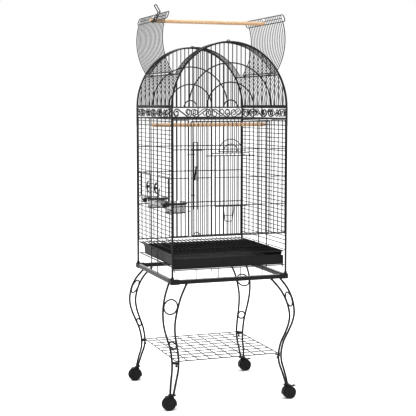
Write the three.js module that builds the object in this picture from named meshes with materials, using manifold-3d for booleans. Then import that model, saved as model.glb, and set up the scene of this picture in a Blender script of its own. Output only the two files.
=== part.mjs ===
// A square dome-top bird cage on a wheeled stand, in millimetres, +Z up.
// The origin is on the floor, under the middle of the cage. -Y is the door side.
import * as THREE from "three";
import { mergeVertices } from "three/addons/utils/BufferGeometryUtils.js";
import Module from "manifold-3d";

const wasm = await Module();
wasm.setup();

// ---- Driving dimensions -------------------------------------------------
const WIDTH = 500; // between post centres, both ways
const HALF = WIDTH / 2;
const GAP = 0.3; // between touching pieces

const POST_R = 4;
const BAR = 2.6; // upright bars
const WIRE = 2.2; // fine side and roof wires
const ROD = 4; // cross rods and door frames
const BAR_PITCH = WIDTH / 27;
const WIRE_PITCH = 35.6; // every second fine wire of the side walls
const ROOF_PITCH = 55.5; // every third fine wire of the roof

const RAIL_TOP = 536; // stand frame of square tube
const TUBE = 18;
const TUBE_WALL = 1.5;
const FRAME_OUT = 258; // outer face of the stand frame
const CONNECTOR = 37; // arm length of a corner connector

const TRAY_LOW = 588;
const TRAY_TOP = 630;
const TRAY_HALF_X = 240;
const TRAY_FRONT = -234;
const TRAY_BACK = 195;
const TRAY_RIM = 3;
const TRAY_WALL = 3;
const FACE_LOW = 576; // front plate of the tray
const FACE_TOP = 615;
const FACE_HALF = 245.4;
const GRATE_FRONT = -244;
const GRATE_BACK = 238;

const PANEL_LOW = 638; // bottom rails of the side walls
const BACK_LOW = 645; // bottom rail of the back panel
const DOOR_LOW = 715;
const DOOR_TOP = 1177;
const BAND_LOW = 1188;
const BAND_TOP = 1234;
const ARCH_RISE = 264; // half-ellipse over the full width
const ARCH_R = 3.5;
const ORNAMENT_RADII = [180, 102, 30];
const CROSS_RODS = [834, 949, 1064]; // front wall and door
const BACK_RODS = [803, 946, 1060];

const HINGE_RISE = 134; // height of the roof hinges over the band
const HINGE_R = 2.5;
const BORDER = 66; // fixed roof strip behind each arch
const LEAF_HALF = 187; // half-depth of an opening roof leaf
const LIP_HALF = 214; // half-depth of its end lip
const LEAF_LIFT = 5; // the leaves lie over the fixed strips
const LEAF_OPEN = 64.7; // degrees, from closed to open
const LIP_START = 82.6; // degrees along the roof ellipse
const LIP_END = 89.1;

const DOOR_HALF = 169;
const DOOR_AXIS_X = 173;
const JAMB_X = 182;
const FLAP_HALF = 69; // small door in the large door
const FLAP_AXIS_Z = 1038;
const FLAP_LOW = 831;
const FLAP_Y = -255;

const FEEDER_AXIS_Y = 197; // hinge line of a feeder door
const FEEDER_FREE_Y = 52;
const FEEDER_LOW = 850;
const FEEDER_TOP = 945;
const FEEDER_FRAME = 5; // the opening in the wall, past the door's edge
const WALL_BAR_Y = 45; // two upright bars in each side wall
const CUP_IN = 54; // cup centre, inward from the wall
const CUP_Y = 130;
const CUP_RIM_Z = 844;
const CUP_HEIGHT = 46;
const CUP_R = 43;

const PERCH_R = 8;
const PERCH_Z = 1159;

const SHELF_Z = 193;
const SHELF_HALF = 227.5;
const SHELF_CELLS = 9;

const FOOT_OUT = 7; // caster stem, outward from the post along the diagonal
const FOOT_Z = 62;
const WHEEL_R = 27;
const WHEEL_TRAIL = 14;
const WHEEL_IN = 4.4; // inner face of each tread, from the middle of the caster
const WHEEL_OUT = 13.5;
// Each leg rod: height, outward offset from the post along the diagonal, spread.
const LEG = [
  [RAIL_TOP - 20.7, -46, 80],
  [471, -6, 73],
  [424, 19, 66],
  [372, 30, 55],
  [329, 24, 46],
  [284, 6, 38],
  [242, -13, 33],
  [SHELF_Z, -23, 31],
  [154, -20, 28],
  [113, -6, 23],
  [74, 6, 17],
  [FOOT_Z + 1, FOOT_OUT, 15],
];
const LEG_RINGS = [
  { z: 429, radius: 30.5, lean: 0.36 },
  { z: 267, radius: 16.5, lean: -0.43 },
];
const LEG_R = 4;

// ---- Materials ------------------------------------------------------------
const finish = (color, roughness, metalness) =>
  new THREE.MeshStandardMaterial({ color, roughness, metalness });
const coatedSteel = finish(0x191919, 0.45, 0.35);
const blackPlastic = finish(0x141414, 0.5, 0);
const paleWood = finish(0xdfa56b, 0.6, 0);
const stainless = finish(0xb9bcbd, 0.25, 1);

// ---- Shapes ---------------------------------------------------------------
const V = (x, y, z) => new THREE.Vector3(x, y, z);
const UP = V(0, 0, 1);

function toSolid(geometry) {
  const loose = geometry.index ? geometry.toNonIndexed() : geometry;
  const bare = new THREE.BufferGeometry();
  bare.setAttribute("position", loose.getAttribute("position"));
  const merged = mergeVertices(bare, 1e-3);
  const corners = merged.index.array;
  const kept = [];
  for (let i = 0; i < corners.length; i += 3) {
    const [a, b, c] = corners.subarray(i, i + 3);
    if (a !== b && b !== c && c !== a) kept.push(a, b, c);
  }
  const vertProperties = merged.attributes.position.array;
  const triVerts = new Uint32Array(kept);
  return new wasm.Manifold(new wasm.Mesh({ numProp: 3, vertProperties, triVerts }));
}

const join = (pieces) => pieces.reduce((whole, piece) => whole.add(piece));

// A box between two opposite corners.
function block([x0, y0, z0], [x1, y1, z1]) {
  const box = new THREE.BoxGeometry(x1 - x0, y1 - y0, z1 - z0);
  return toSolid(box.translate((x0 + x1) / 2, (y0 + y1) / 2, (z0 + z1) / 2));
}

function between(geometry, from, to) {
  const a = V(...from);
  const along = V(...to).sub(a);
  const turn = new THREE.Quaternion().setFromUnitVectors(UP, along.clone().normalize());
  const middle = a.addScaledVector(along, 0.5);
  return toSolid(geometry.applyQuaternion(turn).translate(middle.x, middle.y, middle.z));
}

const span = (from, to) => V(...from).distanceTo(V(...to));

// A straight bar of square section.
function bar(from, to, thick = ROD) {
  return between(new THREE.BoxGeometry(thick, thick, span(from, to)), from, to);
}

// A straight round bar.
function round(from, to, radius, sides = 8) {
  const cylinder = new THREE.CylinderGeometry(radius, radius, span(from, to), sides);
  return between(cylinder.rotateX(Math.PI / 2), from, to);
}

function sectionShape(radius, sides) {
  const points = [];
  for (let i = 0; i < sides; i++) {
    const a = ((i + 0.5) * 2 * Math.PI) / sides;
    points.push(new THREE.Vector2(radius * Math.cos(a), radius * Math.sin(a)));
  }
  return new THREE.Shape(points);
}

// A wire that follows point(t), t from 0 to 1.
function wire(point, radius, steps, sides = 4) {
  const path = new THREE.Curve();
  path.getPoint = (t, target = V(0, 0, 0)) => target.copy(point(t));
  const options = { steps, bevelEnabled: false, extrudePath: path };
  return toSolid(new THREE.ExtrudeGeometry(sectionShape(radius, sides), options));
}

// A ring of wire about an axis.
function ring(centre, axis, radius, wireRadius, segments = 7, sides = 3) {
  const torus = new THREE.TorusGeometry(radius, wireRadius, sides, segments);
  const turn = new THREE.Quaternion().setFromUnitVectors(UP, V(...axis).normalize());
  return toSolid(torus.applyQuaternion(turn).translate(...centre));
}

// A turned body about a vertical or horizontal axis, from [radius, height] pairs.
function turned(profile, segments, centre, axis = [0, 0, 1]) {
  const points = profile.map(([r, h]) => new THREE.Vector2(r, h));
  const lathe = new THREE.LatheGeometry(points, segments).rotateX(Math.PI / 2);
  const turn = new THREE.Quaternion().setFromUnitVectors(UP, V(...axis).normalize());
  return toSolid(lathe.applyQuaternion(turn).translate(...centre));
}

function extruded(outline, height, z) {
  const shape = new THREE.Shape(outline.map(([x, y]) => new THREE.Vector2(x, y)));
  const options = { depth: height, bevelEnabled: false };
  return toSolid(new THREE.ExtrudeGeometry(shape, options).translate(0, 0, z));
}

// A point on the roof ellipse in the XZ plane, at an angle from +X, lifted outward.
function roofPoint(degrees, y, lift = 0) {
  const a = (degrees * Math.PI) / 180;
  return V((HALF + lift) * Math.cos(a), y, BAND_TOP + (ARCH_RISE + lift) * Math.sin(a));
}

// ---- Assembly -------------------------------------------------------------
const cage = new THREE.Group();
cage.name = "bird_cage_on_stand";

function add(name, material, pieces) {
  const { vertProperties, triVerts } = join(pieces).getMesh();
  const geometry = new THREE.BufferGeometry();
  geometry.setAttribute("position", new THREE.BufferAttribute(vertProperties, 3));
  geometry.setIndex(new THREE.BufferAttribute(triVerts, 1));
  geometry.computeVertexNormals();
  const mesh = new THREE.Mesh(geometry, material);
  mesh.name = name;
  cage.add(mesh);
}

const corners = [
  { tag: "front_left", x: -1, y: -1 },
  { tag: "front_right", x: 1, y: -1 },
  { tag: "back_left", x: -1, y: 1 },
  { tag: "back_right", x: 1, y: 1 },
];
const sides = [
  { tag: "left", x: -1 },
  { tag: "right", x: 1 },
];
const ends = [
  { tag: "front", y: -1 },
  { tag: "back", y: 1 },
];

// ---- Stand frame ------------------------------------------------------------
const RAIL_AT = FRAME_OUT - TUBE / 2;
const RAIL_Z = RAIL_TOP - TUBE / 2;
const RAIL_END = FRAME_OUT + 1 - CONNECTOR - GAP;

function standRail(alongX, sign) {
  const outer = TUBE / 2;
  const inner = outer - TUBE_WALL;
  const at = (along, across, up) =>
    alongX ? [along, sign * RAIL_AT + across, RAIL_Z + up] : [sign * RAIL_AT + across, along, RAIL_Z + up];
  const whole = block(at(-RAIL_END, -outer, -outer), at(RAIL_END, outer, outer));
  const bore = block(at(-RAIL_END - 1, -inner, -inner), at(RAIL_END + 1, inner, inner));
  return whole.subtract(bore);
}

function connector({ x, y }) {
  const out = FRAME_OUT + 1;
  const arm = out - CONNECTOR;
  const inside = RAIL_AT - TUBE / 2 - 1;
  const spigot = 6.5;
  const outline = [
    [arm, inside],
    [inside, inside],
    [inside, arm],
    [out, arm],
    [out, out],
    [arm, out],
  ].map(([a, b]) => [x * a, y * b]);
  const plug = (a, b) => {
    const low = [Math.min(a[0], b[0]), Math.min(a[1], b[1]), RAIL_Z - spigot];
    const high = [Math.max(a[0], b[0]), Math.max(a[1], b[1]), RAIL_Z + spigot];
    return block(low, high);
  };
  const reach = arm - 14;
  return [
    extruded(outline, TUBE + 2, RAIL_Z - TUBE / 2 - 1),
    plug([x * reach, y * (RAIL_AT - spigot)], [x * (arm + 5), y * (RAIL_AT + spigot)]),
    plug([x * (RAIL_AT - spigot), y * reach], [x * (RAIL_AT + spigot), y * (arm + 5)]),
  ];
}

ends.forEach(({ tag, y }) => add(`stand_rail_${tag}`, coatedSteel, [standRail(true, y)]));
sides.forEach(({ tag, x }) => add(`stand_rail_${tag}`, coatedSteel, [standRail(false, x)]));
corners.forEach((c) => add(`corner_connector_${c.tag}`, blackPlastic, connector(c)));

// ---- Legs -------------------------------------------------------------------
// A station of a leg, between the rows of LEG: [height, outward, spread].
function legStation(t) {
  const curve = new THREE.CatmullRomCurve3(LEG.map((row) => V(...row)));
  return curve.getPoint(t);
}

function legPoint({ x, y }, t, side) {
  const { x: height, y: outward, z: spread } = legStation(t);
  const out = HALF + outward * Math.SQRT1_2;
  const across = (side * spread * Math.SQRT1_2) / 2;
  return V(x * (out + across), y * (out - across), height);
}

function outward({ x, y }, offset, height) {
  const out = HALF + offset * Math.SQRT1_2;
  return [x * out, y * out, height];
}

function diagonalBlock(corner, size, centre) {
  const [across, out, up] = size;
  const box = new THREE.BoxGeometry(across, out, up);
  box.rotateZ(Math.atan2(corner.y, corner.x) - Math.PI / 2);
  return toSolid(box.translate(...centre));
}

function leg(corner) {
  const rods = [-1, 1].map((side) => wire((t) => legPoint(corner, t, side), LEG_R, 13, 4));
  const rings = LEG_RINGS.map(({ z, radius, lean }) => {
    const row = LEG.findIndex(([height]) => height < z);
    const [high, low] = [LEG[row - 1], LEG[row]];
    const share = (high[0] - z) / (high[0] - low[0]);
    const offset = high[1] + share * (low[1] - high[1]);
    const axis = [corner.x * Math.SQRT1_2, corner.y * Math.SQRT1_2, lean];
    return ring(outward(corner, offset, z), axis, radius, 2.4, 11);
  });
  const bracket = diagonalBlock(corner, [33, 9, 10], outward(corner, -23, SHELF_Z - 5));
  const tongue = diagonalBlock(corner, [16, 24, 3], outward(corner, -31, SHELF_Z - 6.5));
  const plate = diagonalBlock(corner, [30, 18, 5], outward(corner, FOOT_OUT, FOOT_Z));
  return [...rods, ...rings, bracket, tongue, plate];
}

const SCREW_OUT = -33; // thumb screw, from the post along the diagonal
function thumbScrew(corner) {
  const top = SHELF_Z - 8 - GAP;
  const profile = [[0, top - 16], [4.2, top - 16], [4.2, top - 8], [2.5, top - 8], [2.5, top], [0, top]];
  const [x, y] = outward(corner, SCREW_OUT, 0);
  return [turned(profile, 8, [x, y, 0])];
}

function shelf() {
  const pieces = [];
  const layer = 1.75;
  for (const s of [-1, 1]) {
    const at = s * SHELF_HALF;
    const half = SHELF_HALF + 2.5;
    pieces.push(block([-half, at - 2.5, SHELF_Z - 3.5], [half, at + 2.5, SHELF_Z + 3.5]));
    pieces.push(block([at - 2.5, -half, SHELF_Z - 3.5], [at + 2.5, half, SHELF_Z + 3.5]));
  }
  for (let i = 1; i < SHELF_CELLS; i++) {
    const at = -SHELF_HALF + (2 * SHELF_HALF * i) / SHELF_CELLS;
    pieces.push(bar([-SHELF_HALF, at, SHELF_Z + layer], [SHELF_HALF, at, SHELF_Z + layer], 3));
    pieces.push(bar([at, -SHELF_HALF, SHELF_Z - layer], [at, SHELF_HALF, SHELF_Z - layer], 3));
  }
  return pieces;
}

corners.forEach((c) => add(`leg_${c.tag}`, coatedSteel, leg(c)));
corners.forEach((c) => add(`thumb_screw_${c.tag}`, blackPlastic, thumbScrew(c)));
add("shelf", coatedSteel, shelf());

// ---- Casters ------------------------------------------------------------------
const FOOT_AT = HALF + FOOT_OUT * Math.SQRT1_2;
const NECK_TOP = FOOT_Z - 2.5 - GAP;

// The caster rolls along X; its wheel trails outward from the stem.
function wheelCentre({ x, y }) {
  return [x * (FOOT_AT + WHEEL_TRAIL), y * FOOT_AT, WHEEL_R];
}

function casterHood(corner) {
  const [cx, cy, cz] = wheelCentre(corner);
  const outer = WHEEL_R + 4;
  const inner = WHEEL_R + 1.2;
  const web = WHEEL_IN - 1;
  const arc = (radius, from, to, n) =>
    Array.from({ length: n + 1 }, (_, i) => {
      const a = ((from + ((to - from) * i) / n) * Math.PI) / 180;
      return [radius * Math.cos(a), radius * Math.sin(a)];
    });
  // Drawn in the wheel's plane with the stem side at 180 degrees.
  const flat = (outline, depth) => {
    const points = outline.map(([a, b]) => new THREE.Vector2(a, b));
    const options = { depth, bevelEnabled: false };
    const plate = new THREE.ExtrudeGeometry(new THREE.Shape(points), options);
    plate.translate(0, 0, -depth / 2).rotateX(Math.PI / 2);
    if (corner.x < 0) plate.rotateZ(Math.PI);
    return toSolid(plate.translate(cx, cy, cz));
  };
  const shell = flat([...arc(outer, 62, 196, 6), ...arc(inner, 196, 62, 6)], 2 * WHEEL_OUT);
  const middle = flat([...arc(inner + 1, 62, 196, 6), ...arc(9, 250, 420, 4)], 2 * web);
  const bore = round([cx, cy - web - 1, cz], [cx, cy + web + 1, cz], 5, 8);
  const stem = corner.x * FOOT_AT;
  const neck = round([stem, cy, cz + WHEEL_R + 0.8], [stem, cy, NECK_TOP], 7, 8);
  return [shell, join([middle]).subtract(bore), neck];
}

function casterWheel(corner) {
  const centre = wheelCentre(corner);
  const tread = [
    [4, WHEEL_IN],
    [WHEEL_R, WHEEL_IN],
    [WHEEL_R, WHEEL_OUT],
    [0, WHEEL_OUT],
  ];
  const profile = [...tread.map(([r, h]) => [r, -h]).reverse(), ...tread];
  return [turned(profile, 16, centre, [0, 1, 0])];
}

// A foot lever above the wheel of each right-hand caster.
function brakeLever(corner) {
  const [cx, cy, cz] = wheelCentre(corner);
  const from = [cx + 16.5, cy, cz + 26.5];
  const to = [cx + 26, cy, cz + 27.5];
  const pad = block([to[0] - 6, cy - 9, to[2] - 1.4], [to[0] + 1, cy + 9, to[2] + 1.4]);
  return [bar(from, to, 3.4), pad];
}

corners.forEach((c) => add(`caster_hood_${c.tag}`, blackPlastic, casterHood(c)));
corners.forEach((c) => add(`caster_wheel_${c.tag}`, blackPlastic, casterWheel(c)));
corners
  .filter((c) => c.x > 0)
  .forEach((c) => add(`brake_lever_${c.tag}`, blackPlastic, brakeLever(c)));

// ---- Posts ----------------------------------------------------------------------
const POST_TOP = BAND_TOP + 2;
corners.forEach(({ tag, x, y }) => {
  const low = [x * HALF, y * HALF, RAIL_TOP + 1 + GAP];
  const high = [x * HALF, y * HALF, POST_TOP];
  add(`post_${tag}`, coatedSteel, [round(low, high, POST_R, 8)]);
});

// ---- Front and back gables --------------------------------------------------------
const INNER = HALF - POST_R - GAP; // rail ends, just inside the posts
const barXs = Array.from({ length: 26 }, (_, i) => (i - 12.5) * BAR_PITCH);

// Slanted wires that stand for the scrolls of the band, drawn by at(along, height).
function bandScrolls(at, count) {
  return Array.from({ length: count }, (_, i) => {
    const step = (2 * INNER) / count;
    const from = -INNER + i * step;
    const [low, high] = i % 2 ? [BAND_TOP, BAND_LOW] : [BAND_LOW, BAND_TOP];
    return bar(at(from + 4, low), at(from + step - 4, high), WIRE);
  });
}

// The arch, its uprights, ornament arcs and scroll band, in the plane of one wall.
function gable(sign) {
  const y = sign * HALF;
  const start = 0.85; // degrees: the arch stands just clear of the posts
  const sweep = 180 - 2 * start;
  const arch = wire((t) => roofPoint(start + t * sweep, y), ARCH_R, 22, 5);
  const uprights = barXs.map((x) => {
    const top = BAND_TOP + ARCH_RISE * Math.sqrt(1 - (x / HALF) ** 2);
    return bar([x, y, BAND_TOP], [x, y, top - 1], BAR);
  });
  const arcs = ORNAMENT_RADII.map((radius) => {
    const face = y + sign * (BAR / 2 + 1.5 + GAP);
    const point = (t) => {
      const a = Math.PI * t;
      return V(-radius * Math.cos(a), face, BAND_TOP + radius * Math.sin(a));
    };
    return wire(point, 2, Math.round(4 + radius / 25));
  });
  const topRail = block([-INNER, y - 5, BAND_TOP - 2], [INNER, y + 5, BAND_TOP + 2]);
  const lowRail = block([-INNER, y - 3, BAND_LOW - 3], [INNER, y + 3, BAND_LOW + 3]);
  const scrolls = bandScrolls((x, z) => [x, y, z], 8);
  return [arch, ...uprights, ...arcs, topRail, lowRail, ...scrolls];
}

function backPanel() {
  const y = HALF;
  const uprights = barXs.map((x) => bar([x, y, BACK_LOW], [x, y, BAND_LOW], BAR));
  const edges = [-1, 1].map((s) => {
    const x = s * (INNER - 1.5);
    return block([x - 1.5, y - 3, BACK_LOW - 2], [x + 1.5, y + 6, BAND_LOW]);
  });
  const rods = BACK_RODS.map((z) => {
    const at = y + BAR / 2 + ROD / 2 + GAP;
    return bar([-INNER + 1, at, z], [INNER - 1, at, z], ROD);
  });
  const lowRail = bar([-INNER, y, BACK_LOW], [INNER, y, BACK_LOW], 5);
  return [...gable(1), ...uprights, ...edges, ...rods, lowRail];
}

// Cross rods lie behind the uprights.
const BEHIND = BAR / 2 + ROD / 2 + GAP;

// One fixed strip of bars beside the door.
function frontGrille(side) {
  const y = -HALF;
  const low = DOOR_LOW - 1;
  const high = BAND_LOW - 5.5;
  const edge = INNER - 2;
  const uprights = barXs
    .filter((x) => x * side > JAMB_X + 5)
    .map((x) => bar([x, y, low], [x, y, high], BAR));
  const frame = [JAMB_X, edge].map((x) => {
    return block([side * x - 2, y - 2, low], [side * x + 2, y + BEHIND + 1.5, high]);
  });
  const ties = [low, high].map((z) => {
    return bar([side * (JAMB_X - 1), y, z], [side * (edge + 1), y, z], ROD - 1);
  });
  const rods = CROSS_RODS.map((z) => {
    return bar([side * JAMB_X, y + BEHIND, z], [side * edge, y + BEHIND, z], ROD - 1);
  });
  return [...uprights, ...frame, ...ties, ...rods];
}

const HINGE_HEIGHTS = [790, 1110];
const HOOK_HEIGHTS = [1063, 834]; // tops of the two latch hooks
const HOOK_X = -182;
const KEEPER = 3.3; // thickness of a keeper plate

// Rings on the right-hand jamb that carry the door.
function doorKnuckles() {
  return HINGE_HEIGHTS.flatMap((z) => [
    ring([DOOR_AXIS_X, -HALF, z], [0, 0, 1], 4.2, 1.3),
    bar([DOOR_AXIS_X + 3.8, -HALF, z], [JAMB_X, -HALF, z], 2),
  ]);
}

// Plates on the left-hand jamb that the latch hooks lie on.
function keepers() {
  const half = 5.6;
  return HOOK_HEIGHTS.map((height) => {
    const low = [HOOK_X - half, -HALF - 2 - KEEPER, height - 21];
    return block(low, [HOOK_X + half, -HALF, height - 13]);
  });
}

// The rail under the door, which stands on from the right-hand strip.
function frontBottomRail() {
  const z = DOOR_LOW - 5;
  const foot = (x) => bar([x, -HALF, z], [x, -HALF, DOOR_LOW], ROD - 1);
  return [bar([-INNER, -HALF, z], [INNER, -HALF, z], ROD), foot(JAMB_X), foot(INNER - 2)];
}

add("front_gable", coatedSteel, gable(-1));
add("front_grille_left", coatedSteel, [...frontGrille(-1), ...keepers()]);
add("front_grille_right", coatedSteel, [
  ...frontGrille(1),
  ...doorKnuckles(),
  ...frontBottomRail(),
]);
add("back_panel", coatedSteel, backPanel());

// ---- Side walls ---------------------------------------------------------------------
const WALL_EDGE = 241;
const FEEDER_JAMB = 203;
const wireHeights = [];
for (let z = PERCH_Z + WIRE_PITCH / 2; z > PANEL_LOW + 10; z -= WIRE_PITCH) wireHeights.push(z);

const KNUCKLE_IN = 12; // hinge eyes, in from the ends of a feeder door

function sideWall(side, feeders) {
  const bars = side * (HALF - 1); // plane of the upright bars
  const face = side * (HALF + 2.5); // plane of the fine wires
  const slab = (y0, y1, z0, z1, x0 = HALF - 3, x1 = HALF + 3.8) =>
    block([Math.min(side * x0, side * x1), y0, z0], [Math.max(side * x0, side * x1), y1, z1]);
  const pieces = [
    slab(-INNER, INNER, BAND_TOP - 2.5, BAND_TOP + 2.5, HALF - 2.5, HALF + 2.5),
    slab(-INNER, INNER, BAND_LOW - 2, BAND_LOW + 2),
    slab(-WALL_EDGE, WALL_EDGE, PANEL_LOW - 2, PANEL_LOW + 2),
    ...bandScrolls((y, z) => [side * HALF, y, z], 8),
  ];
  for (const s of [-1, 1]) {
    pieces.push(slab(s * WALL_EDGE - 1.5, s * WALL_EDGE + 1.5, PANEL_LOW - 2, BAND_LOW));
    const y = s * WALL_BAR_Y;
    pieces.push(bar([bars, y, RAIL_TOP + GAP], [bars, y, BAND_LOW], ROD));
  }
  const sill = FEEDER_LOW - FEEDER_FRAME;
  const lintel = FEEDER_TOP + FEEDER_FRAME;
  const opening = (z) => feeders && z > sill && z < lintel;
  for (const z of wireHeights) {
    if (!opening(z)) {
      pieces.push(bar([face, -WALL_EDGE, z], [face, WALL_EDGE, z], WIRE));
      continue;
    }
    pieces.push(bar([bars, -WALL_BAR_Y, z], [bars, WALL_BAR_Y, z], WIRE));
    for (const s of [-1, 1]) {
      pieces.push(bar([bars, s * FEEDER_JAMB, z], [bars, s * WALL_EDGE, z], WIRE));
    }
  }
  if (!feeders) return pieces;
  for (const s of [-1, 1]) {
    const jamb = s * FEEDER_JAMB;
    for (const z of [sill, lintel]) {
      pieces.push(bar([bars, s * WALL_BAR_Y, z], [bars, s * WALL_EDGE, z], ROD - 1));
    }
    pieces.push(bar([bars, jamb, sill], [bars, jamb, lintel], ROD - 1));
    for (const z of [FEEDER_LOW + KNUCKLE_IN, FEEDER_TOP - KNUCKLE_IN]) {
      pieces.push(ring([bars, s * FEEDER_AXIS_Y, z], [0, 0, 1], 3.9, 1.2));
      pieces.push(bar([bars, s * (FEEDER_AXIS_Y + 3.6), z], [bars, jamb, z], 2));
    }
  }
  return pieces;
}

add("left_wall", coatedSteel, sideWall(-1, true));
add("right_wall", coatedSteel, sideWall(1, false));

// ---- Roof -----------------------------------------------------------------------------
const ARCH_CLEAR = HALF - ARCH_R - GAP;
const HINGE_DEG = (Math.asin(HINGE_RISE / ARCH_RISE) * 180) / Math.PI;
const HINGE_X = HALF * Math.cos((HINGE_DEG * Math.PI) / 180);
const HINGE_Z = BAND_TOP + HINGE_RISE;

const onSide = (side, p) => V(side * p.x, p.y, p.z);

function roofLower(side) {
  const first = 1.4;
  const edge = ARCH_CLEAR - 2;
  const foot = roofPoint(first, 0);
  const pieces = [
    bar([side * foot.x, -ARCH_CLEAR, foot.z], [side * foot.x, ARCH_CLEAR, foot.z], 3),
    round([side * HINGE_X, -ARCH_CLEAR, HINGE_Z], [side * HINGE_X, ARCH_CLEAR, HINGE_Z], HINGE_R, 8),
  ];
  const ys = [-edge, edge];
  for (let i = -4; i <= 4; i++) ys.push(i * ROOF_PITCH);
  for (const y of ys) {
    const point = (t) => onSide(side, roofPoint(first + t * (HINGE_DEG - first), y));
    pieces.push(wire(point, Math.abs(y) === edge ? 1.8 : 1.4, 4, 3));
  }
  return pieces;
}

function roofBorder(sign) {
  const start = HINGE_DEG + 1.5;
  const sweep = 180 - 2 * start;
  const outer = sign * (ARCH_CLEAR - 2);
  const inner = sign * (HALF - BORDER);
  const pieces = [outer, inner].map((y) => {
    return wire((t) => roofPoint(start + t * sweep, y), 2, 14);
  });
  const ties = 6;
  for (let i = 0; i <= ties; i++) {
    const p = roofPoint(start + (sweep * (i + 0.02 * (ties / 2 - i))) / ties, 0);
    pieces.push(bar([p.x, outer, p.z], [p.x, inner, p.z], WIRE));
  }
  return pieces;
}

// Turns a closed-leaf point out to the open position about the hinge.
function opened(side, p) {
  const a = (LEAF_OPEN * Math.PI) / 180;
  const dx = p.x - HINGE_X;
  const dz = p.z - HINGE_Z;
  const x = HINGE_X + dx * Math.cos(a) + dz * Math.sin(a);
  const z = HINGE_Z - dx * Math.sin(a) + dz * Math.cos(a);
  return V(side * x, p.y, z);
}

const leafPoint = (side, degrees, y) => opened(side, roofPoint(degrees, y, LEAF_LIFT));
const LEAF_START = HINGE_DEG + 3;
// The lip dips round the perch, and passes under it when the leaf closes.
const SADDLE = PERCH_R + 2;
const SEAT = LIP_START - 2.9;

function roofLeaf(side) {
  const rail = (degrees, y0, y1, thick) => {
    const a = leafPoint(side, degrees, y0);
    return bar([a.x, y0, a.z], [a.x, y1, a.z], thick);
  };
  const pieces = [
    rail(LEAF_START, -LEAF_HALF - 1, LEAF_HALF + 1, 3.4),
    rail(SEAT, -SADDLE, SADDLE, 3),
    ...[LIP_START, LIP_END].flatMap((degrees) => [
      rail(degrees, -LIP_HALF, -SADDLE, 3.4),
      rail(degrees, SADDLE, LIP_HALF, 3.4),
    ]),
  ];
  const strand = (y, from, to, radius, steps) =>
    wire((t) => leafPoint(side, from + t * (to - from), y), radius, steps, 3);
  for (const s of [-1, 1]) {
    pieces.push(strand(s * LEAF_HALF, LEAF_START, LIP_START, 1.8, 6));
    pieces.push(strand(s * (LIP_HALF - 1), LIP_START, LIP_END, 1.7, 1));
    pieces.push(strand(s * SADDLE, SEAT, LIP_END, 1.7, 1));
    for (let y = ROOF_PITCH; y < LEAF_HALF - 5; y += ROOF_PITCH) {
      pieces.push(strand(s * y, LEAF_START, LIP_START, 1.4, 5));
    }
    // Knuckle round the fixed hinge rod.
    const y = s * 2.5 * ROOF_PITCH;
    const foot = leafPoint(side, LEAF_START, y);
    const toward = V(side * HINGE_X, y, HINGE_Z).sub(foot);
    toward.setLength(toward.length() - 4.4).add(foot);
    pieces.push(ring([side * HINGE_X, y, HINGE_Z], [0, 1, 0], 4.6, 1.3));
    pieces.push(bar([foot.x, y, foot.z], [toward.x, y, toward.z], 2));
  }
  pieces.push(strand(0, LEAF_START, SEAT, 1.4, 5));
  return pieces;
}

// A wire bail with a finger loop on the lip of the left leaf.
const LATCH_NEAR = -14.5;
const LATCH_FAR = -46;
function roofLatch() {
  const pivot = leafPoint(-1, LIP_START, 0);
  const knee = [pivot.x + 24, pivot.z + 38];
  const tip = [pivot.x + 7, pivot.z + 67];
  const pieces = [];
  for (const y of [LATCH_NEAR, LATCH_FAR]) {
    pieces.push(ring([pivot.x, y, pivot.z], [0, 1, 0], 4.4, 1.2));
    pieces.push(bar([pivot.x + 3.8, y, pivot.z + 2.6], [knee[0], y, knee[1]], 2.4));
    pieces.push(bar([knee[0], y, knee[1]], [tip[0], y, tip[1]], 2.4));
  }
  for (const [x, z] of [knee, tip]) {
    pieces.push(bar([x, LATCH_FAR - 1.2, z], [x, LATCH_NEAR + 1.2, z], 3));
  }
  return pieces;
}

sides.forEach(({ tag, x }) => add(`roof_lower_${tag}`, coatedSteel, roofLower(x)));
ends.forEach(({ tag, y }) => add(`roof_border_${tag}`, coatedSteel, roofBorder(y)));
sides.forEach(({ tag, x }) => add(`roof_leaf_${tag}`, coatedSteel, roofLeaf(x)));
add("roof_latch", coatedSteel, roofLatch());

// ---- Perches ----------------------------------------------------------------------------
const PERCH_SAG = 4; // the perch lies that much lower than on the lips, in notches
const lipFoot = leafPoint(1, LIP_START, 0);
const TOP_PERCH_Z = lipFoot.z + PERCH_R - PERCH_SAG;
const TOP_PERCH_X = [-265, 255];
const INNER_PERCH_X = [-258, 258];
const perch = ([from, to], z) => [round([from, 0, z], [to, 0, z], PERCH_R, 16)];
add("top_perch", paleWood, perch(TOP_PERCH_X, TOP_PERCH_Z));
add("inner_perch", paleWood, perch(INNER_PERCH_X, PERCH_Z));

// ---- Front door -----------------------------------------------------------------------------
const FLAP_RINGS = 4.5 * BAR_PITCH;
const FLAP_FRAME_TOP = 1048;
const FLAP_FRAME_LOW = 834;

const ARCS_Z = 1055;
// Half rings of wire on the face of the door.
const DOOR_ARCS = [
  { radius: 50, x: 0, z: ARCS_Z },
  { radius: 30, x: 0, z: ARCS_Z },
  { radius: 13, x: -146, z: DOOR_LOW },
];

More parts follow.
